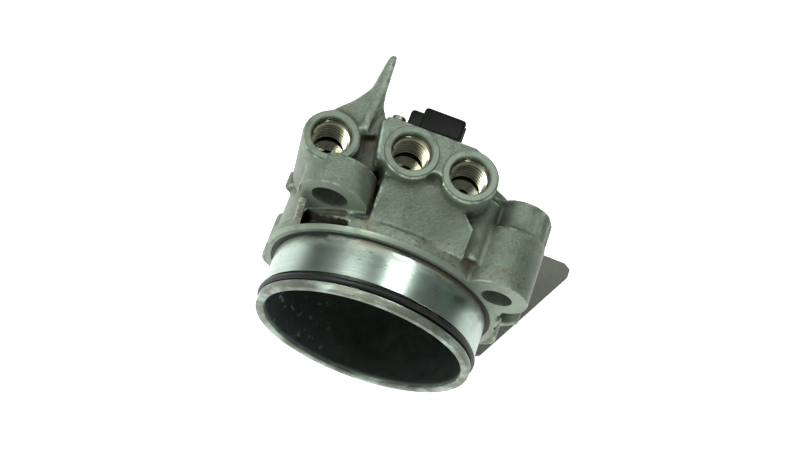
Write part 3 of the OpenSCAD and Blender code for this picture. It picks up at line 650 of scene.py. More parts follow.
ROLLED_BRASS = MachinedMetal("rolled_brass", (0.36, 0.31, 0.17), 0.36, Lay.FLAT, (0.08, 0.065, 0.03), 0.8)
BRONZE = MachinedMetal("bronze", (0.50, 0.34, 0.15), 0.42, Lay.ROUND_Z, (0.15, 0.10, 0.05), 0.5)
PIN_PLATE = MachinedMetal("pin_plate", (0.78, 0.62, 0.30), 0.22, Lay.FLAT, stain_and_shade_share=0.2)
SPRING_STEEL = MachinedMetal("spring_steel", (0.22, 0.23, 0.25), 0.35, Lay.FLAT, stain_and_shade_share=0.4)
COPPER = WoundCore()
SHEET = BrownedSheet()

CARRIED_OVER: dict[str, Finish] = {
    "root_seal": FIBRE, "rear_seal": NITRILE, "upper_bush": BRONZE, "bearing_outer_ring": BEARING_STEEL,
    "bearing_inner_ring": BEARING_STEEL, "bearing_balls": BEARING_STEEL, "shaft_seal": NITRILE,
    "throttle_shaft": SHAFT_STEEL, "butterfly": ROLLED_BRASS, "butterfly_screws": PLATED,
    "sector_gear": GEAR_NYLON, "sector_nut": PLATED, "position_magnet": FERRITE, "return_spring": SPRING_STEEL,
    "bracket_plate": SHEET, "case_gasket": FIBRE, "gear_case": CASE_CAST, "case_screws": PLATED,
    "plate_screws": PLATED, "dowel_pins": BEARING_STEEL, "intermediate_gear": GEAR_NYLON,
    "intermediate_axle": BEARING_STEEL, "motor_can": MOTOR_STEEL, "motor_end_plate": MOTOR_STEEL,
    "motor_magnets": FERRITE, "motor_rotor": COPPER, "motor_shaft": SHAFT_STEEL, "motor_pinion": BRONZE,
    "hall_board": BOARD, "board_screws": PLATED, "case_connector": BLACK_NYLON, "case_pins": PIN_PLATE,
    "pressure_sensor": BLACK_NYLON, "sensor_o_ring": NITRILE, "sensor_pins": PIN_PLATE, "sensor_fixing": PLATED,
    "spigot_o_ring": NITRILE, "housing": CAST,
}


# ---------------------------------------------------------------------------------------------- workshop


class Axis(Enum):
    """A main direction, with the turn that lays a cylinder along it."""

    X = ((1.0, 0.0, 0.0), (0.0, math.pi / 2, 0.0))
    Y = ((0.0, 1.0, 0.0), (math.pi / 2, 0.0, 0.0))
    Z = ((0.0, 0.0, 1.0), (0.0, 0.0, 0.0))

    @property
    def direction(self) -> Vector:
        """The unit vector."""
        return Vector(self.value[0])

    def point(self, along: float, across: Sequence[float]) -> Vector:
        """A point in metres from its place along the axis and its two other coordinates, all in millimetres.

        Args:
            along: The place along the axis.
            across: The two other coordinates, in the order X, Y, Z.

        Returns:
            The point in metres.
        """
        a, b = across
        spots = {Axis.X: (along, a, b), Axis.Y: (a, along, b), Axis.Z: (a, b, along)}
        return Vector(spots[self]) * MM


class Skin(Enum):
    """The casting's material slots."""

    CAST = 0
    MILLED = 1
    BORE = 2
    PORT = 3
    THREAD_ROOT = 4


def pick_nothing() -> None:
    """Deselects everything."""
    bpy.ops.object.select_all(action="DESELECT")


def pick(thing: bpy.types.Object) -> bpy.types.Object:
    """Selects one object only and makes it active.

    Args:
        thing: The object to select.

    Returns:
        The same object.
    """
    pick_nothing()
    thing.select_set(True)
    bpy.context.view_layer.objects.active = thing
    return thing


def settle(name: str) -> bpy.types.Object:
    """Names the active object and moves its place into its mesh.

    Args:
        name: The name that the object and its mesh get.

    Returns:
        The active object, at the origin.
    """
    thing = bpy.context.view_layer.objects.active
    thing.name = thing.data.name = name
    pick(thing)
    bpy.ops.object.transform_apply(location=True, rotation=True, scale=True)
    return thing


def refine(thing: bpy.types.Object, kind: str, **settings: object) -> bpy.types.Object:
    """Adds one modifier, sets it and applies it.

    Args:
        thing: The object to change.
        kind: The modifier's type.
        **settings: The modifier's properties.

    Returns:
        The same object.
    """
    pick(thing)
    bpy.ops.object.modifier_add(type=kind)
    modifier = thing.modifiers[-1]
    for key, setting in settings.items():
        setattr(modifier, key, setting)
    bpy.ops.object.modifier_apply(modifier=modifier.name)
    return thing


def tidy_shell(thing: bpy.types.Object) -> bpy.types.Object:
    """Merges doubled points and turns every face outwards.

    Args:
        thing: The mesh to tidy.

    Returns:
        The same object.
    """
    pick(thing)
    bpy.ops.object.mode_set(mode="EDIT")
    bpy.ops.mesh.select_all(action="SELECT")
    bpy.ops.mesh.remove_doubles(threshold=DOUBLED_WITHIN)
    bpy.ops.mesh.normals_make_consistent(inside=False)
    bpy.ops.object.mode_set(mode="OBJECT")
    return thing


def rod(name: str, radius: float, start: float, end: float, across: Sequence[float] = (0.0, 0.0),
        axis: Axis = Axis.Y, sides: int = 96) -> bpy.types.Object:
    """A round bar.

    Args:
        name: The piece's name.
        radius: Its radius.
        start: Where it starts along the axis.
        end: Where it ends along the axis.
        across: Its centre's two other coordinates.
        axis: The direction of the bar.
        sides: How many sides its circle has.

    Returns:
        The bar.
    """
    pick_nothing()
    middle = axis.point((start + end) / 2, across)
    bpy.ops.mesh.primitive_cylinder_add(vertices=sides, radius=radius * MM, depth=abs(end - start) * MM,
                                        location=middle, rotation=axis.value[1])
    return settle(name)


def block(name: str, low: Point, high: Point) -> bpy.types.Object:
    """A square bar from its lowest to its highest corner.

    Args:
        name: The piece's name.
        low: Its lowest corner.
        high: Its highest corner.

    Returns:
        The bar.
    """
    pick_nothing()
    a, b = Vector(low) * MM, Vector(high) * MM
    bpy.ops.mesh.primitive_cube_add(size=1.0, location=(a + b) / 2, scale=b - a)
    return settle(name)


def outline(name: str, points: Sequence[Point]) -> bpy.types.Object:
    """A closed wire through the given points, in millimetres.

    Args:
        name: The piece's name.
        points: The corners in order.

    Returns:
        The wire.
    """
    pick_nothing()
    bpy.ops.mesh.primitive_circle_add(vertices=len(points), radius=MM, fill_type="NOTHING")
    wire = bpy.context.view_layer.objects.active
    wire.name = name
    for vertex, point in zip(wire.data.vertices, points):
        vertex.co = Vector(point) * MM
    return wire


def prism(name: str, points: Sequence[tuple[float, float]], start: float, end: float,
          axis: Axis = Axis.Z) -> bpy.types.Object:
    """An extruded outline.

    Args:
        name: The piece's name.
        points: The outline's two coordinates across the axis.
        start: Where it starts along the axis.
        end: Where it ends along the axis.
        axis: The direction of the extrusion.

    Returns:
        The extrusion.
    """
    wire = outline(name, [tuple(axis.point(start, p) / MM) for p in points])
    pick(wire)
    bpy.ops.object.mode_set(mode="EDIT")
    bpy.ops.mesh.select_all(action="SELECT")
    bpy.ops.mesh.edge_face_add()
    move = {"value": axis.direction * ((end - start) * MM)}
    bpy.ops.mesh.extrude_region_move(TRANSFORM_OT_translate=move)
    bpy.ops.mesh.select_all(action="SELECT")
    bpy.ops.mesh.normals_make_consistent(inside=False)
    bpy.ops.object.mode_set(mode="OBJECT")
    return settle(name)


def turning(name: str, profile: Sequence[tuple[float, float]], across: Sequence[float] = (0.0, 0.0),
            axis: Axis = Axis.Y, steps: int = 96, sweep: float = 2 * math.pi) -> bpy.types.Object:
    """A turned piece.

    Args:
        name: The piece's name.
        profile: Its closed half-section as radius and place along the axis.
        across: Its centre's two other coordinates.
        axis: The axis that it turns about, Y or Z.
        steps: How many steps a full turn has.
        sweep: The angle that it covers.

    Returns:
        The turned piece.
    """
    wire = outline(name, [tuple(axis.point(along, (across[0] + r, across[1])) / MM) for r, along in profile])
    pick(wire)
    bpy.ops.object.mode_set(mode="EDIT")
    bpy.ops.mesh.select_all(action="SELECT")
    bpy.ops.mesh.spin(steps=steps, angle=sweep, center=axis.point(0.0, across), axis=axis.direction)
    bpy.ops.object.mode_set(mode="OBJECT")
    settle(name)
    return tidy_shell(wire)


def joined(name: str, things: Iterable[bpy.types.Object]) -> bpy.types.Object:
    """Joins several meshes into one object.

    Args:
        name: The new object's name.
        things: The objects to join.

    Returns:
        The one object.
    """
    things = list(things)
    pick(things[0])
    for thing in things[1:]:
        thing.select_set(True)
    bpy.ops.object.join()
    whole = bpy.context.view_layer.objects.active
    whole.name = whole.data.name = name
    return whole


def wearing(thing: bpy.types.Object, skins: Sequence[bpy.types.Material], index: int = 0) -> bpy.types.Object:
    """Gives a mesh its material slots and puts every face on one of them.

    Args:
        thing: The mesh to dress.
        skins: Its material slots, in order.
        index: The slot that its faces get.

    Returns:
        The same object.
    """
    thing.data.materials.clear()
    for skin in skins:
        thing.data.materials.append(skin)
    for face in thing.data.polygons:
        face.material_index = index
    return thing


def cut(body: bpy.types.Object, tool: bpy.types.Object, operation: str = "DIFFERENCE") -> bpy.types.Object:
    """Cuts one closed mesh with another, which is used up.

    Args:
        body: The mesh that is cut.
        tool: The mesh that cuts it; the new faces keep the tool's material slot.
        operation: DIFFERENCE, UNION or INTERSECT.

    Returns:
        The cut body.
    """
    refine(body, "BOOLEAN", operation=operation, object=tool, solver="MANIFOLD")
    bpy.data.objects.remove(tool)
    return body


def crisp(thing: bpy.types.Object, angle: float = 32.0) -> bpy.types.Object:
    """Shades a mesh smooth except across edges sharper than the given angle in degrees.

    Args:
        thing: The mesh to shade.
        angle: The sharpest edge, in degrees, that is still shaded smooth.

    Returns:
        The same object.
    """
    pick(thing)
    bpy.ops.object.shade_smooth_by_angle(angle=math.radians(angle))
    return thing


def mount(thing: bpy.types.Object, body: str, slot: str, *nodes: str) -> bpy.types.Object:
    """Fixes a finished piece to a body and hides the CAD nodes that it stands for.

    Args:
        thing: The finished piece.
        body: The body that it moves with.
        slot: The slot of the record that its finish comes from; it is not used.
        nodes: The CAD nodes that it stands for.

    Returns:
        The same piece.
    """
    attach(thing, body)
    if nodes:
        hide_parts(*nodes)
    log.info("%s: %d faces on %s", thing.name, len(thing.data.polygons), body)
    return thing


# ---------------------------------------------------------------------------------------------- the casting


@dataclass
class Port:
    """One threaded port."""

    name: str
    x: float
    y: float
    face_z: float
    boss_r: float
    boss_low_z: float
    drill_low_z: float
    ring_r: float = 10.2
    mouth_r: float = 7.6
    mouth_depth: float = 3.5
    minor_r: float = 6.2
    major_r: float = 7.0
    pitch: float = 2.0
    thread_end: float = 15.5
    depth: float = 18.5
    seat_drop: float = 0.9
    drill_r: float = 3.1

    def boss(self) -> bpy.types.Object:
        """The cast boss round the port."""
        return rod(f"{self.name}_boss", self.boss_r, self.boss_low_z, self.face_z - 0.5, (self.x, self.y), Axis.Z)

    def tool(self, skins: Sequence[bpy.types.Material], reach: float) -> bpy.types.Object:
        """The stepped cutter that makes the port.

        Args:
            skins: The casting's material slots.
            reach: How far the cutter stands above the port's face.

        Returns:
            The cutter.
        """
        top = self.face_z
        steps = [
            (0.0, top + reach), (self.mouth_r, top + reach), (self.mouth_r, top - self.mouth_depth),
            (self.major_r + 0.02, top - self.mouth_depth - 0.7), (self.major_r + 0.02, top - self.thread_end),
            (self.major_r + 0.3, top - self.thread_end - 0.3), (self.major_r + 0.3, top - self.depth + 0.3),
            (self.major_r - 0.4, top - self.depth), (self.drill_r, top - self.depth - self.seat_drop),
            (self.drill_r, self.drill_low_z), (0.0, self.drill_low_z),
        ]
        cutter = turning(f"{self.name}_cutter", steps, (self.x, self.y), Axis.Z, 72)
        wearing(cutter, skins, Skin.PORT.value)
        # Deep in the port the faces get dark finishes as painted shade: the drilling the bore's soot-and-shade
        # finish, the undercut and thread roots the near-black one.
        for face in cutter.data.polygons:
            below = top - face.center.z / MM
            if below > self.depth + self.seat_drop:
                face.material_index = Skin.BORE.value
            elif self.mouth_depth + 0.7 < below < self.depth - 0.05:
                face.material_index = Skin.THREAD_ROOT.value
        return cutter

    def ring(self) -> bpy.types.Object:
        """The spot-faced ring that stands round the mouth.

        Returns:
            The ring.
        """
        top = self.face_z
        steps = [(self.mouth_r - 0.02, top - 2.0), (self.mouth_r - 0.02, top - 0.45), (self.mouth_r + 0.45, top),
                 (self.ring_r - 0.2, top), (self.ring_r, top - 0.2), (self.ring_r, top - 2.0)]
        ring = turning(f"{self.name}_ring", steps, (self.x, self.y), Axis.Z, 96)
        return crisp(wearing(ring, [RING.material()]), 25.0)

    def thread(self) -> bpy.types.Object:
        """The helical ridge of the thread, one closed coil.

        Returns:
            The coil.
        """
        turns = (self.thread_end - self.mouth_depth - 1.0) / self.pitch
        foot, crest, low = self.major_r + 0.08, self.minor_r, self.face_z - self.thread_end
        half, tip = self.pitch * 0.30, self.pitch * 0.10
        section = [(foot, 0.0, -half), (crest, 0.0, -tip), (crest, 0.0, tip), (foot, 0.0, half)]
        coil = outline(f"{self.name}_thread", section)
        coil.location = Vector((self.x, self.y, low + half + 0.1)) * MM
        steps = int(44 * turns)
        refine(coil, "SCREW", axis="Z", angle=2 * math.pi * turns, screw_offset=self.pitch * turns * MM,
               iterations=1, steps=steps, render_steps=steps, use_merge_vertices=False, use_normal_calculate=True)
        bpy.ops.object.mode_set(mode="EDIT")
        bpy.ops.mesh.select_all(action="SELECT")
        bpy.ops.mesh.fill_holes(sides=4)
        bpy.ops.mesh.select_all(action="SELECT")
        bpy.ops.mesh.normals_make_consistent(inside=False)
        bpy.ops.object.mode_set(mode="OBJECT")
        pick(coil)
        bpy.ops.object.transform_apply(location=True, rotation=True, scale=True)
        return crisp(wearing(coil, [PORT.material()]), 30.0)


@dataclass
class Casting:
    """The one-piece casting: foundry shapes first, then everything that a machine tool cuts."""

    bore_r: float = 40.0
    spigot_r: float = 43.5
    barrel_r: float = 46.5
    flange_r: float = 48.0
    flange_y: float = 23.0
    flange_back: float = 29.2
    rear_y: float = 64.0
    tower_end: float = 60.0
    shaft_y: float = 44.5
    bolt_r: float = 6.0
    bolts: tuple[tuple[float, float], ...] = ((41.674, 33.149), (-29.777, -44.146), (29.777, -44.146))
    step_y: float = 32.0
    arch: tuple[float, float] = (-28.4, 45.5)
    arch_r: float = 13.5
    step_half_w: float = 11.8
    step_hole: tuple[float, float] = (-29.6, 46.5)
    step_hole_r: float = 7.0
    pad_z: float = -57.0
    case_half_w: float = 34.0
    front_stock: float = 0.8
    grain: float = 0.65
    ports: list[Port] = field(default_factory=lambda: [
        Port("port_left", -7.0, 55.0, 60.0, 10.9, 30.0, 40.1),
        Port("port_right", 16.1, 53.9, 60.0, 11.1, 30.0, 39.6),
        Port("port_side", -36.7, 51.2, 57.0, 10.9, 18.0, 33.5),
    ])

    def skins(self) -> list[bpy.types.Material]:
        """The casting's materials, in the order of Skin."""
        return [CAST.material(), MILLED.material(), BORE.material(), PORT.material(), THREAD_ROOT.material()]

    def tool(self, thing: bpy.types.Object, skin: Skin = Skin.MILLED) -> bpy.types.Object:
        """Dresses a cutter, so that the faces it makes get the right slot."""
        return wearing(thing, self.skins(), skin.value)

    def barrel_blanks(self) -> list[bpy.types.Object]:
        """The tube, the flange and the lobes on the two sides.

        Returns:
            The blanks, still separate.
        """
        front = self.flange_y - self.front_stock
        lobes = [rod(f"lobe_{x}", 9.0, self.flange_y + 2.5, self.flange_y + 22, (x, -16.0)) for x in (-40.3, 42.0)]
        return lobes + [rod("barrel", self.barrel_r, self.flange_y + 2, self.rear_y + 1, sides=BARREL_SIDES),
                        rod("flange", self.flange_r, front, self.flange_back, sides=BARREL_SIDES)]

    def panel_blank(self) -> bpy.types.Object:
        """The sloped panel in front of the ports, with its cut-back right corner.

        Returns:
            The blank.
        """
        slope = [(27.5, 30.0), (27.5, 46.3), (30.2, 46.3), (47.0, 54.9), (52.0, 55.0), (52.0, 30.0)]
        panel = prism("panel", slope, -13.6, 24.2, Axis.X)
        corner = [(14.5, 46.0), (18.6, 43.2), (24.6, 38.2), (27.0, 38.2), (27.0, 54.0), (20.0, 54.0)]
        return cut(panel, prism("panel_corner", corner, 44.0, 60.0))

    def port_blanks(self) -> list[bpy.types.Object]:
        """The bosses of the ports and the block that joins them.

        Returns:
            The blanks, still separate.
        """
        top = self.ports[0].face_z - 0.6
        rear = 65.9
        body = [(-18.6, 47.5), (-7.0, 47.5), (16.1, 47.5), (22.0, 50.0), (22.5, 60.5), (19.0, 64.4), (15.0, rear),
                (-19.5, rear), (-21.2, 63.0)]
        pieces = [port.boss() for port in self.ports]
        pieces.append(prism("port_block", body, 34.0, top))
        pieces.append(prism("side_floor", [(-40.0, 45.0), (-18.0, 44.0), (-18.0, 64.5), (-24.0, 66.5),
                                           (-34.0, 60.0)], 30.0, 50.5))
        return pieces

    def web_blanks(self) -> list[bpy.types.Object]:
        """The thin web behind the side port and the blade that stands out from it.

        Returns:
            The blanks, still separate.
        """
        top = 56.0
        web = [(-43.2, 59.0), (-33.8, 69.7), (-28.6, 78.0), (-24.4, 78.0), (-23.8, 73.0), (-20.7, 67.6),
               (-19.0, 60.0), (-30.0, 55.0)]
        blade = [(-29.3, 64.0), (-29.2, 78.0), (-27.5, 91.0), (-26.3, 93.0), (-24.4, 92.4), (-23.6, 77.0),
                 (-22.6, 70.0), (-24.2, 64.0)]
        ridge = [(-28.2, 58.0), (-25.0, 58.0), (-24.2, 78.0), (-24.6, 92.0), (-26.6, 92.0), (-26.6, 78.0)]
        return [prism("side_web", web, top - 4.5, top - 0.8), prism("blade", blade, top - 7.0, top),
                prism("blade_ridge", ridge, top - 1.0, top + 1.0)]

    def right_blanks(self) -> list[bpy.types.Object]:
        """The right bolt tower, its larger front boss, the ribs along it and the lip below.

        Returns:
            The blanks, still separate.
        """
        x, z = self.bolts[0]
        front = self.flange_y - self.front_stock
        end = self.tower_end
        ribs = [rod(f"tower_rib_{n}", 1.6, 30.0, end - 1.5,
                    (x + 10.2 * math.cos(a), z + 10.2 * math.sin(a)), sides=24)
                for n, a in enumerate(math.radians(d) for d in (8.0, 33.0, 58.0))]
        return ribs + [
            rod("tower_boss", 12.7, front, 47.2, (x - 0.7, z + 0.2)),
            rod("tower", 10.9, self.flange_y + 1, end, (x, z)),
            block("tower_web", (27.7, 26.0, 16.0), (x, end, z + 5.6)),
            block("tower_root", (36.0, front, 6.0), (46.4, 31.0, z - 4)),
            prism("lip", [(40.0, front), (48.0, 23.2), (54.9, 26.6), (55.4, 38.0), (40.0, 44.0)], 6.4, 9.8),
            rod("groove_floor", 7.0, 30.0, 56.0, (26.0, 36.5)),
        ]

    def step_blanks(self) -> list[bpy.types.Object]:
        """The set-back boss below the side port.

        Returns:
            The blanks, still separate.
        """
        x, z = self.arch
        front = self.step_y - self.front_stock
        low = 15.0
        walls = [block(f"step_wall_{n}", (left, self.flange_y + 4, low + 3), (left + 4.6, self.step_y + 3, z - 2))
                 for n, left in enumerate((x - self.step_half_w, x + self.step_half_w - 4.6))]
        arch = rod("step_arch", self.arch_r, front, 44.8, (x, z))
        bottom = block("step_face", (x - self.step_half_w, front, low), (x + self.step_half_w, 45.0, z + 1))
        body = block("step_body", (x - self.step_half_w, self.step_y, low), (x + self.step_half_w, 58.0, z - 7))
        crown = block("step_crown", (x - self.step_half_w, self.step_y + 1, z - 4),
                      (x - self.step_half_w + 5, 44.0, z + 5.5))
        return walls + [arch, bottom, body, crown, rod("left_nub", 3.8, 45.0, 52.0, (-45.2, 12.0), sides=32)]

    def low_blanks(self) -> list[bpy.types.Object]:
        """The two lower bolt towers and the pad for the drive.

        Returns:
            The blanks, still separate.
        """
        pieces = []
        for n, (x, z) in enumerate(self.bolts[1:]):
            pieces.append(rod(f"low_tower_{n}", 11.0, self.flange_y - self.front_stock, self.tower_end, (x, z)))
            near, far = sorted((x, x * 0.7))
            pieces.append(block(f"low_web_{n}", (near, self.flange_y + 2, z * 0.7 - 6),
                                (far, self.tower_end, z * 0.7 + 6)))
        half = self.case_half_w
        pieces.append(block("pad", (-half, 31.2, self.pad_z - 0.8), (half, self.rear_y - 0.6, -30.0)))
        return pieces

    def hollows(self) -> list[bpy.types.Object]:
        """The hollows that the mould leaves: the recess by the right port and a small pit.

        Returns:
            The cutters, still separate.
        """
        recess = prism("recess", [(15.5, 45.8), (19.0, 43.6), (24.2, 39.4), (27.5, 40.5), (27.5, 50.0), (20.0, 52.0)],
                       46.0, 62.0)
        cut(recess, rod("recess_core", 11.3, 30.0, 70.0, (self.ports[1].x, self.ports[1].y), Axis.Z))
        dimple = rod("dimple", 3.2, 54.8, 62.0, (4.3, 47.2), Axis.Z, 32)
        return [recess, dimple]

    def foundry(self) -> bpy.types.Object:
        """Joins the blanks, takes out the hollows and rounds everything as a mould does.

        Returns:
            The rough casting.
        """
        blanks = (self.barrel_blanks() + [self.panel_blank()] + self.port_blanks() + self.web_blanks()
                  + self.right_blanks() + self.step_blanks() + self.low_blanks())
        knob = rod("panel_knob", 1.3, 50.0, 56.2, (-12.4, 45.2), Axis.Z, 24)
        body = joined("cast_body", blanks + [knob])
        refine(body, "REMESH", mode="VOXEL", voxel_size=self.grain * MM)
        for hollow in self.hollows():
            cut(body, hollow)
        refine(body, "REMESH", mode="VOXEL", voxel_size=self.grain * MM)
        refine(body, "SMOOTH", factor=0.5, iterations=5)
        return wearing(body, self.skins(), Skin.CAST.value)

    def mill(self, body: bpy.types.Object) -> None:
        """Faces the flange, the rear, the set-back boss and the pad.

        Args:
            body: The casting, which is cut.
        """
        x = self.arch[0]
        cut(body, self.tool(block("front_cut", (-80, -5, -80), (80, self.flange_y, 80))))
        cut(body, self.tool(block("rear_cut", (-80, self.rear_y, -90), (80, 90, 48))))
        face = block("step_cut", (x - 13, self.flange_back + 0.4, 15), (x + 12.6, self.step_y, 64))
        cut(face, rod("step_cut_limit", self.flange_r + 0.1, 20.0, 40.0, sides=BARREL_SIDES))
        cut(body, self.tool(face))
        cut(body, self.tool(block("pad_cut", (-60, 20, self.pad_z - 6), (60, 80, self.pad_z))))
        edge = [(-37.0, 24.8), (-37.3, 26.0), (-37.3, 30.2), (-36.4, 31.4), (-34.6, 30.9), (-31.0, 29.3),
                (-27.0, 28.3), (-22.0, 27.6), (-20.0, 27.2), (-19.4, 26.4), (-19.6, 25.3), (-20.4, 24.8)]
        kidney = prism("kidney", edge, 12.0, 60.0)
        cut(kidney, rod("kidney_core", self.bore_r + 2.2, 0.0, 60.0))
        cut(body, self.tool(kidney, Skin.CAST))
        seat = 65.7
        cut(body, self.tool(block("sensor_cut", (-19.2, seat, 48.0), (10.0, 75, 58.8))))

    def bore_out(self, body: bpy.types.Object) -> None:
        """Bores the air way and turns the seal grooves and the flange's chamfer.

        Args:
            body: The casting, which is cut.
        """
        cut(body, self.tool(rod("bore_cut", self.bore_r, -5.0, 80.0, sides=FINE_STEPS), Skin.BORE))
        inner, outer = self.spigot_r - 0.5, 45.3
        front = [(inner, 20.0), (outer, 20.0), (outer, 24.5), (inner, 24.5)]
        cut(body, self.tool(turning("root_groove_cut", front, steps=FINE_STEPS)))
        inner, outer, floor = 42.0, 44.4, self.rear_y - 1.9
        rear = [(inner, floor), (outer, floor), (outer, 68.0), (inner, 68.0)]
        cut(body, self.tool(turning("rear_groove_cut", rear, steps=FINE_STEPS)))
        slope = [(47.1, 22.0), (47.1, 23.0), (48.4, 25.6), (49.4, 25.6), (49.4, 22.0)]
        chamfer = turning("chamfer_cut", slope, steps=FINE_STEPS)
        cut(chamfer, block("chamfer_low", (-60, 10, -60), (60, 40, 3.2)))
        cut(chamfer, rod("chamfer_boss", 15.5, 10.0, 40.0, self.bolts[0]))
        cut(body, self.tool(chamfer))

    def drill(self, body: bpy.types.Object) -> None:
        """Drills the bolt holes, the blind hole, the ports, the shaft's bores and the fixings.

        Args:
            body: The casting, which is cut.
        """
        for x, z in self.bolts:
            cut(body, self.tool(rod("bolt_cut", self.bolt_r, 15.0, 70.0, (x, z), sides=64)))
        x, z = self.step_hole
        r, end = self.step_hole_r, self.step_y + 11.0
        blind = [(0.0, 25.0), (r, 25.0), (r, end), (2.0, end + 1.2), (0.0, end + 1.2)]
        cut(body, self.tool(turning("step_hole_cut", blind, (x, z), steps=64), Skin.CAST))
        for port, reach in zip(self.ports, (4.0, 4.0, 0.25)):
            cut(body, port.tool(self.skins(), reach))
        low = self.pad_z - 2
        spring_r, bearing_r, seal_r, shaft_r = 12.0, 9.5, 8.0, 5.3
        spring_top, bearing_top, seal_top, inside = -49.5, -44.5, -42.0, -30.0
        shaft = [(0.0, low), (spring_r, low), (spring_r, spring_top), (bearing_r, spring_top),
                 (bearing_r, bearing_top), (seal_r, bearing_top), (seal_r, seal_top), (shaft_r, seal_top),
                 (shaft_r, inside), (0.0, inside)]
        cut(body, self.tool(turning("shaft_cut", shaft, (0.0, self.shaft_y), Axis.Z, 72)))
        bush_r, bush_low, bush_top = 4.5, 30.0, 47.5
        bush = [(0.0, bush_low), (bush_r, bush_low), (bush_r, bush_top), (0.0, bush_top)]
        cut(body, self.tool(turning("bush_cut", bush, (0.0, self.shaft_y), Axis.Z, 48)))
        screws_and_dowels = ((36.5, 2.5, -51.5), (52.5, 2.5, -51.5), (45.5, 1.5, -53.0))
        for side in (-28.0, 28.0):
            for y, r, top in screws_and_dowels:
                cut(body, self.tool(rod("fixing_cut", r, low, top, (side, y), Axis.Z, 32)))
        cut(body, self.tool(rod("nozzle_cut", 2.9, 56.2, 70.0, (4.6, 53.5), sides=32)))

    def spigot(self) -> bpy.types.Object:
        """The turned spigot with its O-ring groove and worn rim.

        Returns:
            The spigot.
        """
        r, bore, end = self.spigot_r, self.bore_r, self.flange_y
        floor, front, back = r - 2.2, 3.35, 7.25
        profile = [(bore, end), (bore, 1.6), (bore + 0.25, 0.7), (bore + 0.9, 0.12), (bore + 1.3, 0.0),
                   (r - 0.9, 0.0), (r - 0.25, 0.2), (r, 0.8), (r, front - 0.15), (r - 0.15, front), (floor, front),
                   (floor, back), (r - 0.15, back), (r, back + 0.15), (r, 21.9), (r - 0.5, 22.0), (r - 0.5, end)]
        tube = turning("spigot", profile, steps=FINE_STEPS)
        wearing(tube, [SPIGOT.material(), BORE.material()])
        inner = (bore + 0.02) * MM
        for face in tube.data.polygons:
            if math.hypot(face.center.x, face.center.z) < inner:
                face.material_index = 1
        return crisp(tube, 28.0)

    def o_ring(self) -> bpy.types.Object:
        """The slack O-ring, standing a little proud in its groove.

        Returns:
            The ring.
        """
        low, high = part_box("spigot_o_ring")
        y = (low.y + high.y) / 2 / MM
        pick_nothing()
        radius, cord_r, sag, spread = 42.95, 1.3, 0.35, 1.003
        bpy.ops.mesh.primitive_torus_add(major_segments=FINE_STEPS, minor_segments=20, major_radius=radius * MM,
                                         minor_radius=cord_r * MM, location=(0, y * MM, 0),
                                         rotation=(math.pi / 2, 0, 0))
        ring = settle("slack_o_ring")
        for vertex in ring.data.vertices:
            angle = math.atan2(vertex.co.z, vertex.co.x)
            vertex.co.y += sag * MM * math.sin(2 * angle + 0.4)
            vertex.co.x *= spread
        return crisp(wearing(ring, [NITRILE.material()]), 60.0)

    def build(self) -> None:
        """Makes the casting, its spigot, rings and threads."""
        body = self.foundry()
        self.mill(body)
        self.bore_out(body)
        self.drill(body)
        crisp(body, 34.0)
        mount(body, "casing", "cast_aluminium", "housing")
        mount(self.spigot(), "casing", "cast_aluminium", "housing")
        for port in self.ports:
            mount(port.ring(), "casing", "cast_aluminium", "housing")
            mount(port.thread(), "casing", "cast_aluminium", "housing")
        mount(self.o_ring(), "casing", "nitrile", "spigot_o_ring")


# ---------------------------------------------------------------------------------------------- the sensor


@dataclass
class PressureSensor:
    """The black pressure sensor behind the middle ports, with its plug socket and ear."""

    seat_y: float = 65.75
    middle: tuple[float, float] = (0.4, 53.5)
    half_w: float = 8.2
    half_h: float = 5.0
    length: float = 10.0
    wall: float = 1.4
    ear: tuple[float, float] = (-15.8, 51.5)
    ear_t: float = 2.5

    def soft_block(self, name: str, low: Point, high: Point, radius: float) -> bpy.types.Object:
        """A block with rounded edges.

        Args:
            name: The piece's name.
            low: Its lowest corner.
            high: Its highest corner.
            radius: The radius of its edges.

        Returns:
            The block.
        """
        return refine(block(name, low, high), "BEVEL", width=radius * MM, segments=4)

    def build(self) -> None:
        """Makes the sensor's shell."""
        x, z = self.middle
        y, w, h = self.seat_y, self.half_w, self.half_h
        end = y + self.length
        shell = self.soft_block("sensor_shell", (x - w, y, z - h), (x + w, end, z + h), 1.5)
        cut(shell, self.soft_block("side", (x - w - 4.6, y, z - 4.5), (x - w + 2, end - 2, z + 3.5), 1.5), "UNION")
        cut(shell, block("ear_plate", (self.ear[0], y, z - 5.2), (x - w + 2, y + self.ear_t, z + 1.2)), "UNION")
        cut(shell, rod("ear_round", 3.2, y, y + self.ear_t, self.ear, sides=48), "UNION")
        for n, low_z in enumerate((z - 2.5, z + 0.5)):
            cut(shell, block(f"rib_{n}", (x + w - 1, y + 1, low_z), (x + w + 0.6, end - 1.5, low_z + 1.2)), "UNION")
        room = self.soft_block("room", (x - w + self.wall, y + 3.2, z - h + self.wall),
                               (x + w - self.wall, end + 3, z + h - self.wall), 0.8)
        cut(shell, room)
        cut(shell, rod("ear_hole", 1.8, y - 1, y + 4, self.ear, sides=32))
        mount(crisp(wearing(shell, [BLACK_NYLON.material()])), "casing", "connector_black", "pressure_sensor")


# ---------------------------------------------------------------------------------------------- the studio


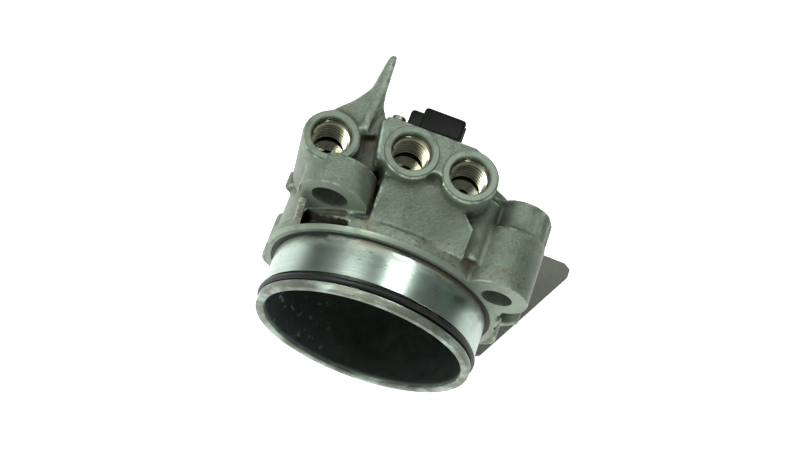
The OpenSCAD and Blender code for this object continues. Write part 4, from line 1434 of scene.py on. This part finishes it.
@dataclass
class Studio:
    """Floor, light and camera."""

    azimuth: float = -0.028
    elevation: float = 1.143
    roll: float = 0.380
    distance: float = 600.0
    aim: Point = (-1.582, 38.927, 30.081)
    lens: float = 71.12
    film_width: float = 36.0
    near: float = 10.0
    floor_side: float = 6000.0
    sky_tint: Colour = (0.96, 1.0, 0.97)
    sky_light: float = 0.20
    sky_seen: float = 1.05

    def floor(self) -> None:
        """A wide pale floor under the part."""
        pick_nothing()
        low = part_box("gear_case")[0].z
        bpy.ops.mesh.primitive_plane_add(size=self.floor_side * MM, location=(0, 0, low))
        floor = settle("studio_floor")
        wearing(floor, [PaleFloor().material()])

    def camera(self) -> None:
        """The camera, above and in front of the part, and rolled so that the part leans."""
        az, el, roll = self.azimuth, self.elevation, self.roll
        back = Vector((math.sin(az) * math.cos(el), -math.cos(az) * math.cos(el), math.sin(el)))
        right = Vector((math.cos(az), math.sin(az), 0.0))
        up = back.cross(right)
        across = right * math.cos(roll) + up * math.sin(roll)
        upward = up * math.cos(roll) - right * math.sin(roll)
        lens = bpy.data.cameras.new("camera")
        lens.lens = self.lens
        lens.sensor_width = self.film_width
        lens.clip_start = self.near * MM
        camera = bpy.data.objects.new("camera", lens)
        bpy.context.scene.collection.objects.link(camera)
        turn = Matrix((across, upward, back)).transposed().to_4x4()
        camera.matrix_world = Matrix.Translation((Vector(self.aim) + back * self.distance) * MM) @ turn
        bpy.context.scene.camera = camera

    def lamp(self, name: str, place: Point, size: float, power: float, tint: Colour = (1.0, 1.0, 1.0)) -> None:
        """One square soft light that looks at the part.

        Args:
            name: The light's name.
            place: Where it hangs, in millimetres.
            size: Its side in millimetres.
            power: Its power in watts.
            tint: Its colour.
        """
        light = bpy.data.lights.new(name, "AREA")
        light.size = size * MM
        light.energy = power
        light.color = tint
        lamp = bpy.data.objects.new(name, light)
        bpy.context.scene.collection.objects.link(lamp)
        lamp.location = Vector(place) * MM
        lamp.rotation_euler = (Vector(self.aim) * MM - lamp.location).to_track_quat("-Z", "Y").to_euler()

    def light(self) -> None:
        """Soft light all round with four soft boxes, and a sky that the camera sees brighter than it lights."""
        world = bpy.data.worlds.new("studio")
        world.use_nodes = True
        tree = world.node_tree
        sky = tree.nodes["Background"]
        sky.inputs["Color"].default_value = (*self.sky_tint, 1.0)
        seen = tree.nodes.new("ShaderNodeLightPath").outputs["Is Camera Ray"]
        strength = tree.nodes.new("ShaderNodeMapRange")
        strength.inputs["To Min"].default_value = self.sky_light
        strength.inputs["To Max"].default_value = self.sky_seen
        tree.links.new(seen, strength.inputs["Value"])
        tree.links.new(strength.outputs["Result"], sky.inputs["Strength"])
        bpy.context.scene.world = world
        self.lamp("key", (-380, 60, 620), 200, 3.4)
        self.lamp("strip_left", (-330, -300, 330), 60, 0.55)
        self.lamp("strip_right", (330, -420, 260), 50, 0.5)
        self.lamp("top", (120, 260, 620), 160, 1.3)
        bpy.context.scene.view_settings.view_transform = "Standard"

    def build(self) -> None:
        """Sets up the whole studio."""
        self.floor()
        self.camera()
        self.light()


def dress_carried_over() -> None:
    """Gives every CAD node its finish."""
    for name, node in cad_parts.items():
        finish = CARRIED_OVER[name].material()
        node.data.materials.clear()
        node.data.materials.append(finish)
        log.info("%s: %s", name, finish.name)


def main() -> None:
    """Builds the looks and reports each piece."""
    logging.basicConfig(level=logging.INFO, format="%(name)s %(message)s")
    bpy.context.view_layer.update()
    dress_carried_over()
    Casting().build()
    PressureSensor().build()
    Studio().build()


if __name__ == "__main__":
    main()
